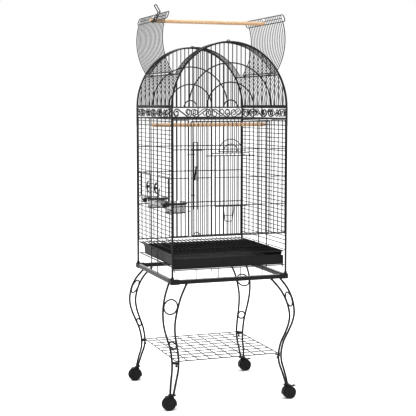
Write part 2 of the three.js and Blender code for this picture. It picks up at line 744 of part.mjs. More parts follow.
function frontDoor() {
  const y = -HALF;
  const pieces = [];
  const shut = (x) => Math.abs(x) > FLAP_HALF + 5;
  for (const x of barXs.filter((v) => Math.abs(v) < DOOR_HALF - 6)) {
    if (Math.abs(x) > DOOR_HALF - 15 && x > 0) continue;
    const runs = shut(x)
      ? [[DOOR_LOW, DOOR_TOP]]
      : [[DOOR_LOW, FLAP_FRAME_LOW], [FLAP_FRAME_TOP, DOOR_TOP]];
    runs.forEach(([low, high]) => pieces.push(bar([x, y, low], [x, y, high], BAR)));
  }
  for (const z of [DOOR_LOW, DOOR_TOP]) {
    pieces.push(bar([-DOOR_HALF - 2, y, z], [DOOR_AXIS_X, y, z], ROD));
  }
  const lastBar = 8.5 * BAR_PITCH;
  const edge = (x, deep) => block([x - 1.8, y - 1.8, DOOR_LOW], [x + 1.8, y + deep, DOOR_TOP]);
  pieces.push(edge(-DOOR_HALF, BEHIND + 1.2), edge(lastBar, BEHIND + 1.2));
  pieces.push(round([DOOR_AXIS_X, y, DOOR_LOW - 2], [DOOR_AXIS_X, y, DOOR_TOP + 2], 2.2, 8));
  const rod = (x0, x1, z) => pieces.push(bar([x0, y + BEHIND, z], [x1, y + BEHIND, z], ROD - 1));
  const stiles = [-FLAP_RINGS, FLAP_RINGS].map((x) => {
    return block([x - 1.6, y - 1.6, FLAP_FRAME_LOW], [x + 1.6, y + BEHIND + 1.2, FLAP_FRAME_TOP]);
  });
  pieces.push(...stiles);
  const [lowRod, middleRod, highRod] = CROSS_RODS;
  rod(-DOOR_HALF, lastBar, lowRod);
  rod(-DOOR_HALF, -FLAP_RINGS, middleRod);
  rod(FLAP_RINGS, lastBar, middleRod);
  rod(-DOOR_HALF, lastBar, highRod);
  for (const z of [FLAP_FRAME_LOW, FLAP_FRAME_TOP]) {
    pieces.push(bar([-FLAP_RINGS, y, z], [FLAP_RINGS, y, z], ROD - 1.4));
  }
  for (const s of [-1, 1]) {
    pieces.push(ring([s * FLAP_RINGS, FLAP_Y, FLAP_AXIS_Z], [1, 0, 0], 4, 1.2));
  }
  for (const { radius, x: centre, z } of DOOR_ARCS) {
    const point = (t) => {
      const a = Math.PI * t;
      return V(centre - radius * Math.cos(a), y - 3.2, z + radius * Math.sin(a));
    };
    pieces.push(wire(point, 1.7, 4 + Math.round(radius / 10)));
  }
  for (const { radius, x, z } of [DOOR_ARCS[0], DOOR_ARCS[2]]) {
    pieces.push(block([x - radius - 3, y - 4.6, z - 1.5], [x + radius + 3, y - 1, z + 1.5]));
  }
  return [...pieces, ...latchGuides()];
}

// Two eyes on the door that the latch rod slides in.
const LATCH_RODS_X = [-163, -144];
const GUIDE_HEIGHTS = [1045, 880];
function latchGuides() {
  const y = -HALF;
  return GUIDE_HEIGHTS.flatMap((z) => [
    block([-172, y - 4, z - 2], [-155, y - 0.5, z + 2]),
    block([-169.5, y - 12, z - 2], [-167.5, y - 2, z + 2]),
    block([-158.5, y - 12, z - 2], [-156.5, y - 2, z + 2]),
    block([-169.5, y - 13, z - 2], [-156.5, y - 11, z + 2]),
  ]);
}

function doorLatch() {
  const y = -HALF - 7.5;
  const [left, right] = LATCH_RODS_X;
  const low = 822;
  const high = 1094;
  const pieces = [
    bar([left, y, low], [left, y, high], 3),
    bar([right, y, low], [right, y, high], 3),
    bar([left - 1, y, high], [right + 1, y, high], 2.6),
    block([left + 0.5, y - 2.4, 942], [right - 0.5, y + 0.9, 995]),
  ];
  for (const z of HOOK_HEIGHTS) {
    pieces.push(bar([HOOK_X, y, z], [right, y, z], 2.6));
    pieces.push(bar([HOOK_X, y, z - 26], [HOOK_X, y, z + 1.5], 3));
  }
  return pieces;
}

function smallDoor() {
  const y = FLAP_Y;
  const pieces = [
    round([-106, y, FLAP_AXIS_Z], [104, y, FLAP_AXIS_Z], 1.9, 8),
    bar([-FLAP_HALF - 1.5, y, FLAP_LOW], [FLAP_HALF + 1.5, y, FLAP_LOW], 3),
    bar([-FLAP_HALF, y, 949], [FLAP_HALF, y, 949], 2.4),
  ];
  for (const x of [-FLAP_HALF, ...barXs.filter((v) => Math.abs(v) < FLAP_HALF - 10), FLAP_HALF]) {
    pieces.push(bar([x, y, FLAP_LOW], [x, y, FLAP_AXIS_Z], Math.abs(x) === FLAP_HALF ? 3 : BAR));
  }
  const handleLow = 769;
  for (const [top, foot] of [[-32, -24], [15, 7]]) {
    pieces.push(bar([top, y, FLAP_LOW], [foot, y, handleLow], 3));
  }
  pieces.push(bar([-25.5, y, handleLow], [8.5, y, handleLow], 3));
  pieces.push(bar([-27, y, 793], [10, y, 793], 2));
  return pieces;
}

add("front_door", coatedSteel, frontDoor());
add("small_door", coatedSteel, smallDoor());
add("door_latch", coatedSteel, doorLatch());

// ---- Feeders -----------------------------------------------------------------------------------
const FEEDER_X = -(HALF - 1);
const CUP_X = -(HALF - CUP_IN);

function feederDoor(sign) {
  const hinge = sign * FEEDER_AXIS_Y;
  const free = sign * FEEDER_FREE_Y;
  const pieces = [
    round([FEEDER_X, hinge, FEEDER_LOW], [FEEDER_X, hinge, FEEDER_TOP], 2, 8),
    bar([FEEDER_X, free, FEEDER_LOW - 1.5], [FEEDER_X, free, FEEDER_TOP + 1.5], 3),
  ];
  for (const z of [FEEDER_LOW, FEEDER_TOP]) {
    pieces.push(bar([FEEDER_X, hinge, z], [FEEDER_X, free, z], BAR));
  }
  const wires = 4;
  for (let i = 1; i < wires; i++) {
    const z = FEEDER_LOW + (i * (FEEDER_TOP - FEEDER_LOW)) / wires;
    pieces.push(bar([FEEDER_X, hinge, z], [FEEDER_X, free, z], WIRE));
  }
  return pieces;
}

function feederCup(sign) {
  const low = CUP_RIM_Z - CUP_HEIGHT;
  const wall = 1.5;
  const foot = CUP_R - 1.5;
  const profile = [
    [0, low],
    [foot, low],
    [CUP_R, CUP_RIM_Z - 2],
    [CUP_R + 3, CUP_RIM_Z - 4 + GAP],
    [CUP_R + 3, CUP_RIM_Z],
    [CUP_R - wall, CUP_RIM_Z],
    [foot - wall, low + wall],
    [0, low + wall],
  ];
  return [turned(profile, 24, [CUP_X, sign * CUP_Y, 0])];
}

// A ring that a feeder cup hangs in, on an arm welded over a wire of the left wall.
function cupHolder(sign) {
  const top = CUP_RIM_Z - 4;
  const section = [[1.5, -3], [5, -3], [5, 0], [1.5, 0], [1.5, -3]];
  const outline = section.map(([r, h]) => [CUP_R + r, top + h]);
  const low = wireHeights.find((z) => z < top - 12) + WIRE / 2 + GAP;
  const [near, far] = [sign * (CUP_Y + 7), sign * (CUP_Y + 21)].sort((a, b) => a - b);
  return [
    turned(outline, 19, [CUP_X, sign * CUP_Y, 0]),
    block([-HALF - 3, near, low], [CUP_X - CUP_R - 1, far, top]),
  ];
}

// A curved finger catch on the free edge of a feeder door.
const CATCH_Z = 897;
function feederCatch(sign) {
  const y = sign * (FEEDER_FREE_Y + 8);
  const x = FEEDER_X - 7;
  const point = (t) => {
    const a = (t - 0.5) * 2.2;
    return V(x - 14 * Math.cos(a) + 5.5, y - sign * 3 * Math.cos(a), CATCH_Z + 26 * Math.sin(a));
  };
  const boss = round([x - 8, y, CATCH_Z], [x + 3.5, y, CATCH_Z], 4.5, 8);
  return [wire(point, 3, 8, 6), boss];
}

ends.forEach(({ tag, y }) => add(`feeder_door_${tag}`, coatedSteel, feederDoor(y)));
ends.forEach(({ tag, y }) => add(`cup_holder_${tag}`, coatedSteel, cupHolder(y)));
ends.forEach(({ tag, y }) => add(`feeder_cup_${tag}`, stainless, feederCup(y)));
ends.forEach(({ tag, y }) => add(`feeder_catch_${tag}`, blackPlastic, feederCatch(y)));

// ---- Tray, grate and their support ----------------------------------------------------------------
// A pan with a rim; its front plate is lower than its sides, at the top and at the bottom.
function tray() {
  const side = TRAY_HALF_X + TRAY_RIM;
  const outer = block([-TRAY_HALF_X, TRAY_FRONT, TRAY_LOW], [TRAY_HALF_X, TRAY_BACK, TRAY_TOP]);
  const rim = block([-side, TRAY_FRONT, TRAY_TOP - 3], [side, TRAY_BACK + TRAY_RIM, TRAY_TOP]);
  const inner = block(
    [-TRAY_HALF_X + TRAY_WALL, TRAY_FRONT + TRAY_WALL, TRAY_LOW + TRAY_WALL],
    [TRAY_HALF_X - TRAY_WALL, TRAY_BACK - TRAY_WALL, TRAY_TOP + 1],
  );
  const low = [-side - 1, TRAY_FRONT - 1, FACE_TOP];
  const lowered = block(low, [side + 1, TRAY_FRONT + TRAY_WALL + 0.5, TRAY_TOP + 1]);
  const face = block([-FACE_HALF, TRAY_FRONT - 2, FACE_LOW], [FACE_HALF, TRAY_FRONT + 1, FACE_TOP]);
  return [outer.add(rim).subtract(inner).subtract(lowered).add(face)];
}

function grate() {
  const z = TRAY_TOP + GAP + ROD / 2;
  const half = TRAY_HALF_X + 4;
  const pieces = [];
  for (const y of [GRATE_FRONT, GRATE_BACK]) {
    pieces.push(bar([-half - 2, y, z], [half + 2, y, z], ROD));
  }
  for (const x of [-half, half]) pieces.push(bar([x, GRATE_FRONT, z], [x, GRATE_BACK, z], ROD));
  barXs
    .filter((x, i) => i % 2 === 0 && Math.abs(x) < half - 5)
    .forEach((x) => pieces.push(bar([x, GRATE_FRONT, z + 0.5], [x, GRATE_BACK, z + 0.5], BAR)));
  return pieces;
}

// Rods under the pan that bend down behind its front plate to a cross rod.
const RUNNERS_X = [TRAY_HALF_X + 3, TRAY_HALF_X - 7];
const CROSS_ROD_Y = 243;
const TRAY_STUBS_X = [80, 238];
const TRAY_STRUTS_X = [49, 146];
function traySupport() {
  const thin = ROD - 1;
  const z = TRAY_LOW - GAP - ROD / 2;
  const low = FACE_LOW - GAP - thin / 2 - 0.3;
  const bend = TRAY_FRONT + 4;
  const pieces = [bar([-INNER, CROSS_ROD_Y, z], [INNER, CROSS_ROD_Y, z], thin)];
  pieces.push(bar([-INNER, -CROSS_ROD_Y, low], [INNER, -CROSS_ROD_Y, low], thin));
  for (const s of [-1, 1]) {
    for (const x of RUNNERS_X.map((v) => s * v)) {
      pieces.push(bar([x, bend - ROD / 2, z], [x, INNER, z], ROD));
      pieces.push(bar([x, bend, z], [x, bend, low - thin / 2], ROD));
      pieces.push(bar([x, bend, low], [x, -CROSS_ROD_Y, low], thin));
    }
    for (const x of TRAY_STUBS_X) {
      pieces.push(bar([s * x, -CROSS_ROD_Y, low - 10], [s * x, -CROSS_ROD_Y, low], thin));
    }
    for (const x of TRAY_STRUTS_X) {
      pieces.push(bar([s * x, -CROSS_ROD_Y, RAIL_TOP + GAP], [s * x, -CROSS_ROD_Y, low], WIRE));
    }
  }
  return pieces;
}

add("tray", blackPlastic, tray());
add("grate", coatedSteel, grate());
add("tray_support", coatedSteel, traySupport());

export default cage;
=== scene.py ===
"""A dome-top bird cage on a wheeled stand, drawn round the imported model.

Shapes are drawn in millimetres, +Z up, with the door side at -Y. They become metres when a piece is made.
"""
import math

import bmesh
import bpy
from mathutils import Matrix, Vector


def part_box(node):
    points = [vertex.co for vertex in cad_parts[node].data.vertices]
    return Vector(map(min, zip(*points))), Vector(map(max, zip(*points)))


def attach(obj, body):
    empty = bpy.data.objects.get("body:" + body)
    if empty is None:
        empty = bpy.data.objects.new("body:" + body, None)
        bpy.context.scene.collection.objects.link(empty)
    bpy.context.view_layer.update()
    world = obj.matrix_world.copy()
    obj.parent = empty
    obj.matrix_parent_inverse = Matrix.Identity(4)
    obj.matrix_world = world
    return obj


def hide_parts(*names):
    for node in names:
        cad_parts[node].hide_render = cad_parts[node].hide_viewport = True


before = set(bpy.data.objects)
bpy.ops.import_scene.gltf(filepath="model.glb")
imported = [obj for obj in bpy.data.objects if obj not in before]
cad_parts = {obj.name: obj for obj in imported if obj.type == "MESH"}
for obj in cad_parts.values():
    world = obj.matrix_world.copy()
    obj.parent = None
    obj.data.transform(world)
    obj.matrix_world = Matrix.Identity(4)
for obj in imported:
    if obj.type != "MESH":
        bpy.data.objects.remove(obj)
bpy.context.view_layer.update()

MM = 0.001
X, Y, Z = Vector((1, 0, 0)), Vector((0, 1, 0)), Vector((0, 0, 1))


def size_of(node):
    """Lowest and highest corner of a CAD node in millimetres."""
    low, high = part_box(node)
    return low / MM, high / MM


# ---- Sizes ----
POST_LOW, POST_HIGH = size_of("post_front_right")
HALF = (POST_LOW.x + POST_HIGH.x) / 2  # post centres
POST_R = 4
INNER = HALF - POST_R - 0.3  # rails end just inside the posts
BAND_TOP = POST_HIGH.z - 2
BAND_LOW = BAND_TOP - 46
ARCH_RISE = 264
ARCH_R = 3.7
ORNAMENT_RADII = (180, 102, 30)

BAR_R = 1.7  # upright bars
FINE_R = 1.25  # side and roof wires
ROD_R = 1.9  # cross rods
EDGE_R = 1.7  # end wires of the roof's panels
BAR_PITCH = 2 * HALF / 27
WIRE_PITCH = 17.8
ROOF_PITCH = 18.5
BEHIND = BAR_R + ROD_R - 0.3  # cross rods are welded behind the bars

RAIL_LOW, RAIL_HIGH = size_of("stand_rail_front")
RAIL_TOP = RAIL_HIGH.z
TUBE = RAIL_HIGH.z - RAIL_LOW.z
RAIL_END = RAIL_HIGH.x
FRAME_OUT = -RAIL_LOW.y
RAIL_AT = FRAME_OUT - TUBE / 2
RAIL_Z = RAIL_TOP - TUBE / 2

TRAY_LOW, TRAY_HIGH = size_of("tray")
PAN_LOW = TRAY_HIGH.z - 43
FACE_TOP = TRAY_HIGH.z - 15  # the tray's front plate is lower than its sides
PANEL_LOW = 638
DOOR_LOW = 715
BOTTOM_RAIL_Z = DOOR_LOW - 5
BACK_LOW = 645
ARCS_Z = 1055
DOOR_TOP = 1177
CROSS_RODS = (834, 949, 1064)
BACK_RODS = (803, 946, 1060)
DOOR_HALF = 169
DOOR_AXIS_X = 173
DOOR_EYES_Z = (790, 1110)
HOOKS_Z = (1063, 834)  # hooks of the door's latch
GUIDES_Z = (1045, 880)
JAMB_X = 182
FLAP_HALF = 69
FLAP_AXIS_Z = 1038
FLAP_LOW = 831
FLAP_Y = -HALF - 5

HINGE_RISE = 134
HINGE_Z = BAND_TOP + HINGE_RISE
HINGE_DEG = math.degrees(math.asin(HINGE_RISE / ARCH_RISE))
HINGE_X = HALF * math.cos(math.radians(HINGE_DEG))
ARCH_CLEAR = HALF - ARCH_R - 0.3
BORDER = 66
LEAF_HALF = 187
LIP_HALF = 214
LEAF_LIFT = 5
LEAF_OPEN = 64.7
LEAF_START = HINGE_DEG + 3
LIP_START = 82.6
LIP_END = 89.1

FEEDER_AXIS_Y = 197
FEEDER_FREE_Y = 52
FEEDER_TAB_Y = 84
FEEDER_LOW = 850
FEEDER_TOP = 945
FEEDER_X = 1 - HALF
CUP_X = 54 - HALF
CUP_Y = 130
CUP_RIM_Z = 844
CUP_HEIGHT = 46
CUP_R = 43

PERCH_R = 8
SHELF_Z = 193
SHELF_HALF = 227.5
SHELF_CELLS = 9
SCREW_OUT = -33
FOOT_OUT = 7
FOOT_Z = 62
WHEEL_R = 27
WHEEL_TRAIL = 14
# Each leg rod: height, outward offset from the post along the diagonal, spread.
LEG = (
    (RAIL_TOP - 20.7, -46, 80),
    (471, -6, 73),
    (424, 19, 66),
    (372, 30, 55),
    (329, 24, 46),
    (284, 6, 38),
    (242, -13, 33),
    (SHELF_Z, -23, 31),
    (154, -20, 28),
    (113, -6, 23),
    (74, 6, 17),
    (63, 7, 15),
)
LEG_RINGS = ((429, 30.5, 0.36), (267, 16.5, -0.43))
LEG_R = 4

SIDES = {"left": -1, "right": 1}
ENDS = {"front": -1, "back": 1}
CORNERS = {f"{end}_{side}": (x, y) for end, y in ENDS.items() for side, x in SIDES.items()}
BAR_XS = [(i - 12.5) * BAR_PITCH for i in range(26)]
LONG_BARS = (5, 7, 18, 20)  # these run on through the band


# ---- Curves ----
def at(x, y, z):
    return Vector((x, y, z))


def window(a0, a1, b0, b1):
    """The corners of a rectangle, in turn, as pairs."""
    return [(a0, b0), (a1, b0), (a1, b1), (a0, b1)]


def arc(centre, radius, start, end, steps, across, up):
    """Points of an arc in the plane of two directions, from one angle to another in degrees."""
    points = []
    for i in range(steps + 1):
        a = math.radians(start + (end - start) * i / steps)
        points.append(centre + radius * (math.cos(a) * across + math.sin(a) * up))
    return points


def circle(centre, radius, axis, steps):
    across = axis.orthogonal().normalized()
    return arc(centre, radius, 0, 360 - 360 / steps, steps - 1, across, axis.normalized().cross(across))


def bend(points, radius, steps=5, loop=False):
    """A wire's route with its corners rounded."""
    points = [Vector(p) for p in points]
    count = len(points)
    route = []
    for i, corner in enumerate(points):
        if not loop and i in (0, count - 1):
            route.append(corner)
            continue
        before, after = points[i - 1] - corner, points[(i + 1) % count] - corner
        reach = min(radius, before.length * 0.48, after.length * 0.48)
        start, end = corner + before.normalized() * reach, corner + after.normalized() * reach
        for k in range(steps + 1):
            t = k / steps
            route.append(start * (1 - t) ** 2 + corner * 2 * t * (1 - t) + end * t * t)
    return route


def smooth_row(rows, t):
    """A point between the rows of a table, on a smooth curve through them. t runs from 0 to 1."""
    last = len(rows) - 1
    i = min(int(t * last), last - 1)
    u = t * last - i
    p1, p2 = Vector(rows[i]), Vector(rows[i + 1])
    p0 = Vector(rows[i - 1]) if i else 2 * p1 - p2
    p3 = Vector(rows[i + 2]) if i + 2 <= last else 2 * p2 - p1
    return 0.5 * (
        2 * p1 + (p2 - p0) * u + (2 * p0 - 5 * p1 + 4 * p2 - p3) * u**2 + (3 * p1 - p0 - 3 * p2 + p3) * u**3
    )


def rounded(outline, radius, steps=4, closed=True):
    """A flat outline with its corners turned into arcs."""
    flat = [(a, b, 0) for a, b in outline]
    return [(p.x, p.y) for p in bend(flat, radius, steps, loop=closed)]


def inset(outline, distance):
    """The outline, counter-clockwise, moved inward."""
    moved = []
    for i, point in enumerate(outline):
        p = Vector(point)
        before = (p - Vector(outline[i - 1])).normalized()
        after = (Vector(outline[(i + 1) % len(outline)]) - p).normalized()
        normal = Vector((-before.y - after.y, before.x + after.x))
        share = max(normal.length_squared / 4, 0.25)
        moved.append(p + normal / 2 * distance / share)
    return moved


# ---- Forms ----
class Form:
    """Closed shapes gathered into one mesh. A shape keeps the finish that is current when it is drawn."""

    def __init__(self):
        self.points, self.faces, self.finishes = [], [], []
        self.finish = 0

    def add(self, points, faces):
        base = len(self.points)
        self.points.extend(points)
        self.faces.extend([base + i for i in face] for face in faces)
        self.finishes.extend([self.finish] * len(faces))

    def skin(self, rings, loop=False):
        """Joins equal rings of points into a surface. It is closed at both ends unless it is a loop."""
        n, rows = len(rings[0]), len(rings)
        faces = []
        for i in range(rows if loop else rows - 1):
            j = (i + 1) % rows
            for k in range(n):
                m = (k + 1) % n
                faces.append([i * n + k, i * n + m, j * n + m, j * n + k])
        if not loop:
            faces.append(list(range(n))[::-1])
            faces.append([(rows - 1) * n + k for k in range(n)])
        self.add([p for ring in rings for p in ring], faces)

    def tube(self, route, radius, sides=10, loop=False):
        """A round wire along a route, with domed ends."""
        route = [Vector(p) for p in route]
        last = len(route) - 1
        rings, normal = [], None
        for i, p in enumerate(route):
            ahead = route[(i + 1) % (last + 1)] if loop else route[min(i + 1, last)]
            behind = route[i - 1] if loop else route[max(i - 1, 0)]
            along = (ahead - behind).normalized()
            normal = along.orthogonal() if normal is None else normal - along * normal.dot(along)
            normal.normalize()
            other = along.cross(normal)
            ring = [
                math.cos(2 * math.pi * k / sides) * normal + math.sin(2 * math.pi * k / sides) * other
                for k in range(sides)
            ]
            if not loop and i == 0:
                rings += [self.dome(ring, p, -along, radius, a) for a in (72, 38)]
            rings.append([p + v * radius for v in ring])
            if not loop and i == last:
                rings += [self.dome(ring, p, along, radius, a) for a in (38, 72)]
        self.skin(rings, loop)

    @staticmethod
    def dome(ring, centre, along, radius, degrees):
        a = math.radians(degrees)
        peak = centre + along * (0.6 * radius * math.sin(a))
        return [peak + v * (radius * math.cos(a)) for v in ring]

    def rod(self, start, end, radius, sides=10):
        self.tube([start, end], radius, sides)

    def ring(self, centre, radius, axis, wire=1.2, steps=20, sides=8):
        self.tube(circle(centre, radius, axis, steps), wire, sides, loop=True)

    def across(self, x0, x1, y, z, radius, sides=10):
        """A rod along X."""
        self.rod(at(x0, y, z), at(x1, y, z), radius, sides)

    def along(self, x, y0, y1, z, radius, sides=10):
        """A rod along Y."""
        self.rod(at(x, y0, z), at(x, y1, z), radius, sides)

    def upright(self, x, y, z0, z1, radius, sides=10):
        """A rod along Z."""
        self.rod(at(x, y, z0), at(x, y, z1), radius, sides)

    def turned(self, profile, centre, axis=Z, segments=40):
        """A body of revolution from (radius, height) pairs that start and end on the axis, or go round."""
        axis = axis.normalized()
        across = axis.orthogonal().normalized()
        other = axis.cross(across)
        loop = profile[0][0] > 0
        shown = profile if loop else profile[1:-1]
        turn = [2 * math.pi * k / segments for k in range(segments)]
        spokes = [across * math.cos(a) + other * math.sin(a) for a in turn]
        self.skin([[centre + axis * h + spoke * r for spoke in spokes] for r, h in shown], loop)

    def plate(self, outline, low, high, place=at, edge=0.8):
        """A flat outline given thickness, with rounded edges. place turns (a, b, height) into a point."""
        area = sum(a[0] * b[1] - b[0] * a[1] for a, b in zip(outline, outline[1:] + outline[:1]))
        outline = outline if area > 0 else outline[::-1]
        turn = [math.pi / 2 * k / 3 for k in range(4)]
        levels = [(edge * (1 - math.sin(a)), low + edge * (1 - math.cos(a))) for a in turn]
        levels += [(edge * (1 - math.cos(a)), high - edge * (1 - math.sin(a))) for a in turn]
        self.skin([[place(p[0], p[1], h) for p in inset(outline, back)] for back, h in levels])

    def block(self, low, high, edge=0.8, corner=1.2):
        """A box between two opposite corners, with rounded edges."""
        (x0, x1), (y0, y1), (z0, z1) = [sorted(pair) for pair in zip(low, high)]
        outline = rounded(window(x0, x1, y0, y1), corner, 4)
        self.plate(outline, z0, z1, edge=min(edge, (z1 - z0) * 0.45))

    def hollow(self, outer, inner, low, high, place):
        """A tube of any section, open at both ends."""
        turns = ((outer, low), (outer, high), (inner, high), (inner, low))
        self.skin([[place(a, b, h) for a, b in outline] for outline, h in turns], loop=True)

    def strip(self, route, thick, wide, across, edge=0.7):
        """A flat strip along a route, its width lying along across."""
        t, w = thick / 2, wide / 2
        section = rounded(window(-t, t, -w, w), edge, 3)
        rings = []
        for i, p in enumerate(route):
            along = (route[min(i + 1, len(route) - 1)] - route[max(i - 1, 0)]).normalized()
            normal = across.cross(along)
            rings.append([p + normal * a + across * b for a, b in section])
        self.skin(rings)


def add_object(name, data):
    obj = bpy.data.objects.new(name, data)
    bpy.context.scene.collection.objects.link(obj)
    return obj


def make_mesh(name, form, origin=Vector()):
    mesh = bpy.data.meshes.new(name)
    mesh.from_pydata([(p - origin) * MM for p in form.points], [], form.faces)
    shape = bmesh.new()
    shape.from_mesh(mesh)
    bmesh.ops.recalc_face_normals(shape, faces=shape.faces)
    shape.to_mesh(mesh)
    shape.free()
    return mesh


def piece(name, body, form, finishes, nodes, origin=Vector(), weighted=False):
    """Makes the form a mesh object that moves with a body and stands for CAD nodes."""
    mesh = make_mesh(f"{name}_visual", form, origin)
    for finish in finishes:
        mesh.materials.append(finish)
    mesh.polygons.foreach_set("material_index", form.finishes)
    mesh.shade_smooth()
    mesh.set_sharp_from_angle(angle=math.radians(52))
    obj = add_object(f"{name}_visual", mesh)
    obj.location = origin * MM
    if weighted:
        obj.modifiers.new("even_shading", "WEIGHTED_NORMAL").keep_sharp = True
    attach(obj, body)
    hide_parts(*nodes)
    return obj


def carve(obj, form):
    """Cuts a form out of a piece."""
    cutter = add_object("cutter", make_mesh("cutter", form))
    cut = obj.modifiers.new("cut", "BOOLEAN")
    cut.object, cut.operation, cut.solver = cutter, "DIFFERENCE", "EXACT"
    bpy.context.view_layer.update()
    result = bpy.data.meshes.new_from_object(obj.evaluated_get(bpy.context.evaluated_depsgraph_get()))
    obj.modifiers.remove(cut)
    obj.data = result
    bpy.data.objects.remove(cutter)
    result.set_sharp_from_angle(angle=math.radians(40))


# ---- Materials ----
def fill(node, values):
    """Sets a node's inputs by name, with _ for a space."""
    for socket, value in values.items():
        node.inputs[socket.replace("_", " ")].default_value = value
    return node


class Recipe:
    """A Principled material whose colour, roughness and relief come from noise in object space."""

    def __init__(self, name, **constants):
        self.material = bpy.data.materials.new(name)
        self.material.use_nodes = True
        self.nodes = self.material.node_tree.nodes
        self.links = self.material.node_tree.links
        self.shader = fill(self.nodes["Principled BSDF"], constants)
        self.place = self.node("ShaderNodeTexCoord").outputs["Object"]
        self.relief = None

    def node(self, kind, **values):
        return fill(self.nodes.new(kind), values)

    def noise(self, scale, detail=3, stretch=(1, 1, 1), roughness=0.5):
        mapping = self.node("ShaderNodeMapping", Scale=stretch)
        self.links.new(self.place, mapping.inputs["Vector"])
        noise = self.node("ShaderNodeTexNoise", Scale=scale, Detail=detail, Roughness=roughness)
        self.links.new(mapping.outputs["Vector"], noise.inputs["Vector"])
        return noise.outputs["Fac"]

    def cells(self, scale):
        cells = self.node("ShaderNodeTexVoronoi", Scale=scale)
        self.links.new(self.place, cells.inputs["Vector"])
        return cells.outputs["Distance"]

    def times(self, a, b):
        node = self.node("ShaderNodeMath")
        node.operation = "MULTIPLY"
        self.links.new(a, node.inputs[0])
        self.links.new(b, node.inputs[1])
        return node.outputs["Value"]

    def ramp(self, value, *stops):
        """Colours at places from 0 to 1."""
        node = self.node("ShaderNodeValToRGB")
        while len(node.color_ramp.elements) < len(stops):
            node.color_ramp.elements.new(0.5)
        for element, (position, colour) in zip(node.color_ramp.elements, stops):
            element.position = position
            element.color = (*colour, 1)
        self.links.new(value, node.inputs["Fac"])
        return node.outputs["Color"]

    def spread(self, value, low, high, start=0.3, end=0.7):
        node = self.node("ShaderNodeMapRange", From_Min=start, From_Max=end, To_Min=low, To_Max=high)
        self.links.new(value, node.inputs["Value"])
        return node.outputs["Result"]

    def mix(self, share, a, b):
        node = self.node("ShaderNodeMix")
        node.data_type = "RGBA"
        self.links.new(share, node.inputs[0])
        self.links.new(a, node.inputs[6])
        self.links.new(b, node.inputs[7])
        return node.outputs[2]

    def set(self, socket, value):
        self.links.new(value, self.shader.inputs[socket])

    def bump(self, height, depth, strength=1.0):
        """Relief of a depth in metres. Later calls add to earlier ones."""
        node = self.node("ShaderNodeBump", Strength=strength, Distance=depth)
        self.links.new(height, node.inputs["Height"])
        if self.relief is not None:
            self.links.new(self.relief, node.inputs["Normal"])
        self.relief = node.outputs["Normal"]
        self.set("Normal", self.relief)

    def upward(self):
        """0 on faces that look down or sideways, up to 1 on faces that look up."""
        normal = self.node("ShaderNodeNewGeometry").outputs["Normal"]
        split = self.node("ShaderNodeSeparateXYZ")
        self.links.new(normal, split.inputs["Vector"])
        return self.spread(split.outputs["Z"], 0, 1, 0.4, 1)


def powder_coat(name, pale, top_share):
    """Near-black satin powder coating, with orange peel, and a paler tone on what faces up: partly a
    dusting, partly a painted highlight of light falling on top faces.
    """
    r = Recipe(name, Specular_IOR_Level=0.4)
    tone = r.ramp(r.noise(38, 4), (0.25, (0.005, 0.005, 0.0053)), (0.75, (0.009, 0.009, 0.0096)))
    # Painted highlight with a dusting: faces that look up are paled toward grey.
    dust_and_highlight = r.times(r.upward(), r.spread(r.noise(160, 5), top_share * 0.4, top_share))
    r.set("Base Color", r.mix(dust_and_highlight, tone, r.ramp(dust_and_highlight, (0, (pale * 0.6,) * 3), (1, (pale,) * 3))))
    r.set("Roughness", r.spread(r.noise(420, 3), 0.24, 0.36))
    r.bump(r.noise(900, 2), 0.00006, 0.6)
    r.bump(r.noise(3200, 2), 0.00002, 0.5)
    return r.material


def moulded(name, dark, light, grain, depth, roughness):
    """Black moulded plastic with a spark-eroded grain."""
    r = Recipe(name, Specular_IOR_Level=0.36)
    r.set("Base Color", r.ramp(r.noise(55, 4), (0.3, (dark,) * 3), (0.72, (light,) * 3)))
    r.set("Roughness", r.spread(r.noise(300, 4), roughness - 0.07, roughness + 0.09))
    r.bump(r.cells(grain), depth, 0.7)
    r.bump(r.noise(grain * 0.6, 3), depth * 0.7, 0.5)
    return r.material


def wood():
    """Pale hardwood dowel, its grain along X, with darker pores."""
    r = Recipe("dowel_wood", Specular_IOR_Level=0.4)
    along = (0.045, 1, 1)
    rings = r.noise(150, 5, along, 0.62)
    tone = r.ramp(
        rings, (0.28, (0.40, 0.26, 0.15)), (0.5, (0.52, 0.375, 0.25)), (0.75, (0.60, 0.45, 0.31))
    )
    pores = r.noise(900, 2, (0.03, 1, 1), 0.7)
    pore = r.spread(pores, 0, 0.55, 0.56, 0.72)
    dark = r.ramp(pores, (0.4, (0.50, 0.25, 0.10)), (0.8, (0.34, 0.16, 0.06)))
    r.set("Base Color", r.mix(pore, tone, dark))
    r.set("Roughness", r.spread(rings, 0.5, 0.68))
    r.bump(pores, 0.00012, 0.5)
    r.bump(r.noise(260, 4, (0.12, 1, 1)), 0.0001, 0.4)
    return r.material


def brushed_steel():
    """Stainless steel spun on a lathe: fine lines round the piece's own Z axis."""
    r = Recipe("brushed_stainless", Metallic=1.0)
    lines = r.noise(60, 4, (0.12, 0.12, 40), 0.7)
    r.set("Base Color", r.ramp(lines, (0.25, (0.36, 0.365, 0.37)), (0.75, (0.54, 0.54, 0.535))))
    r.set("Roughness", r.spread(r.noise(25, 3), 0.16, 0.3))
    r.bump(lines, 0.00003, 0.35)
    return r.material


def zinc():
    """Bright zinc plating with a faint bloom."""
    r = Recipe("zinc_plating", Metallic=1.0)
    r.set("Base Color", r.ramp(r.noise(90, 5), (0.3, (0.42, 0.43, 0.44)), (0.7, (0.62, 0.62, 0.61))))
    r.set("Roughness", r.spread(r.noise(240, 4), 0.25, 0.45))
    r.bump(r.noise(1500, 2), 0.00002, 0.5)
    return r.material
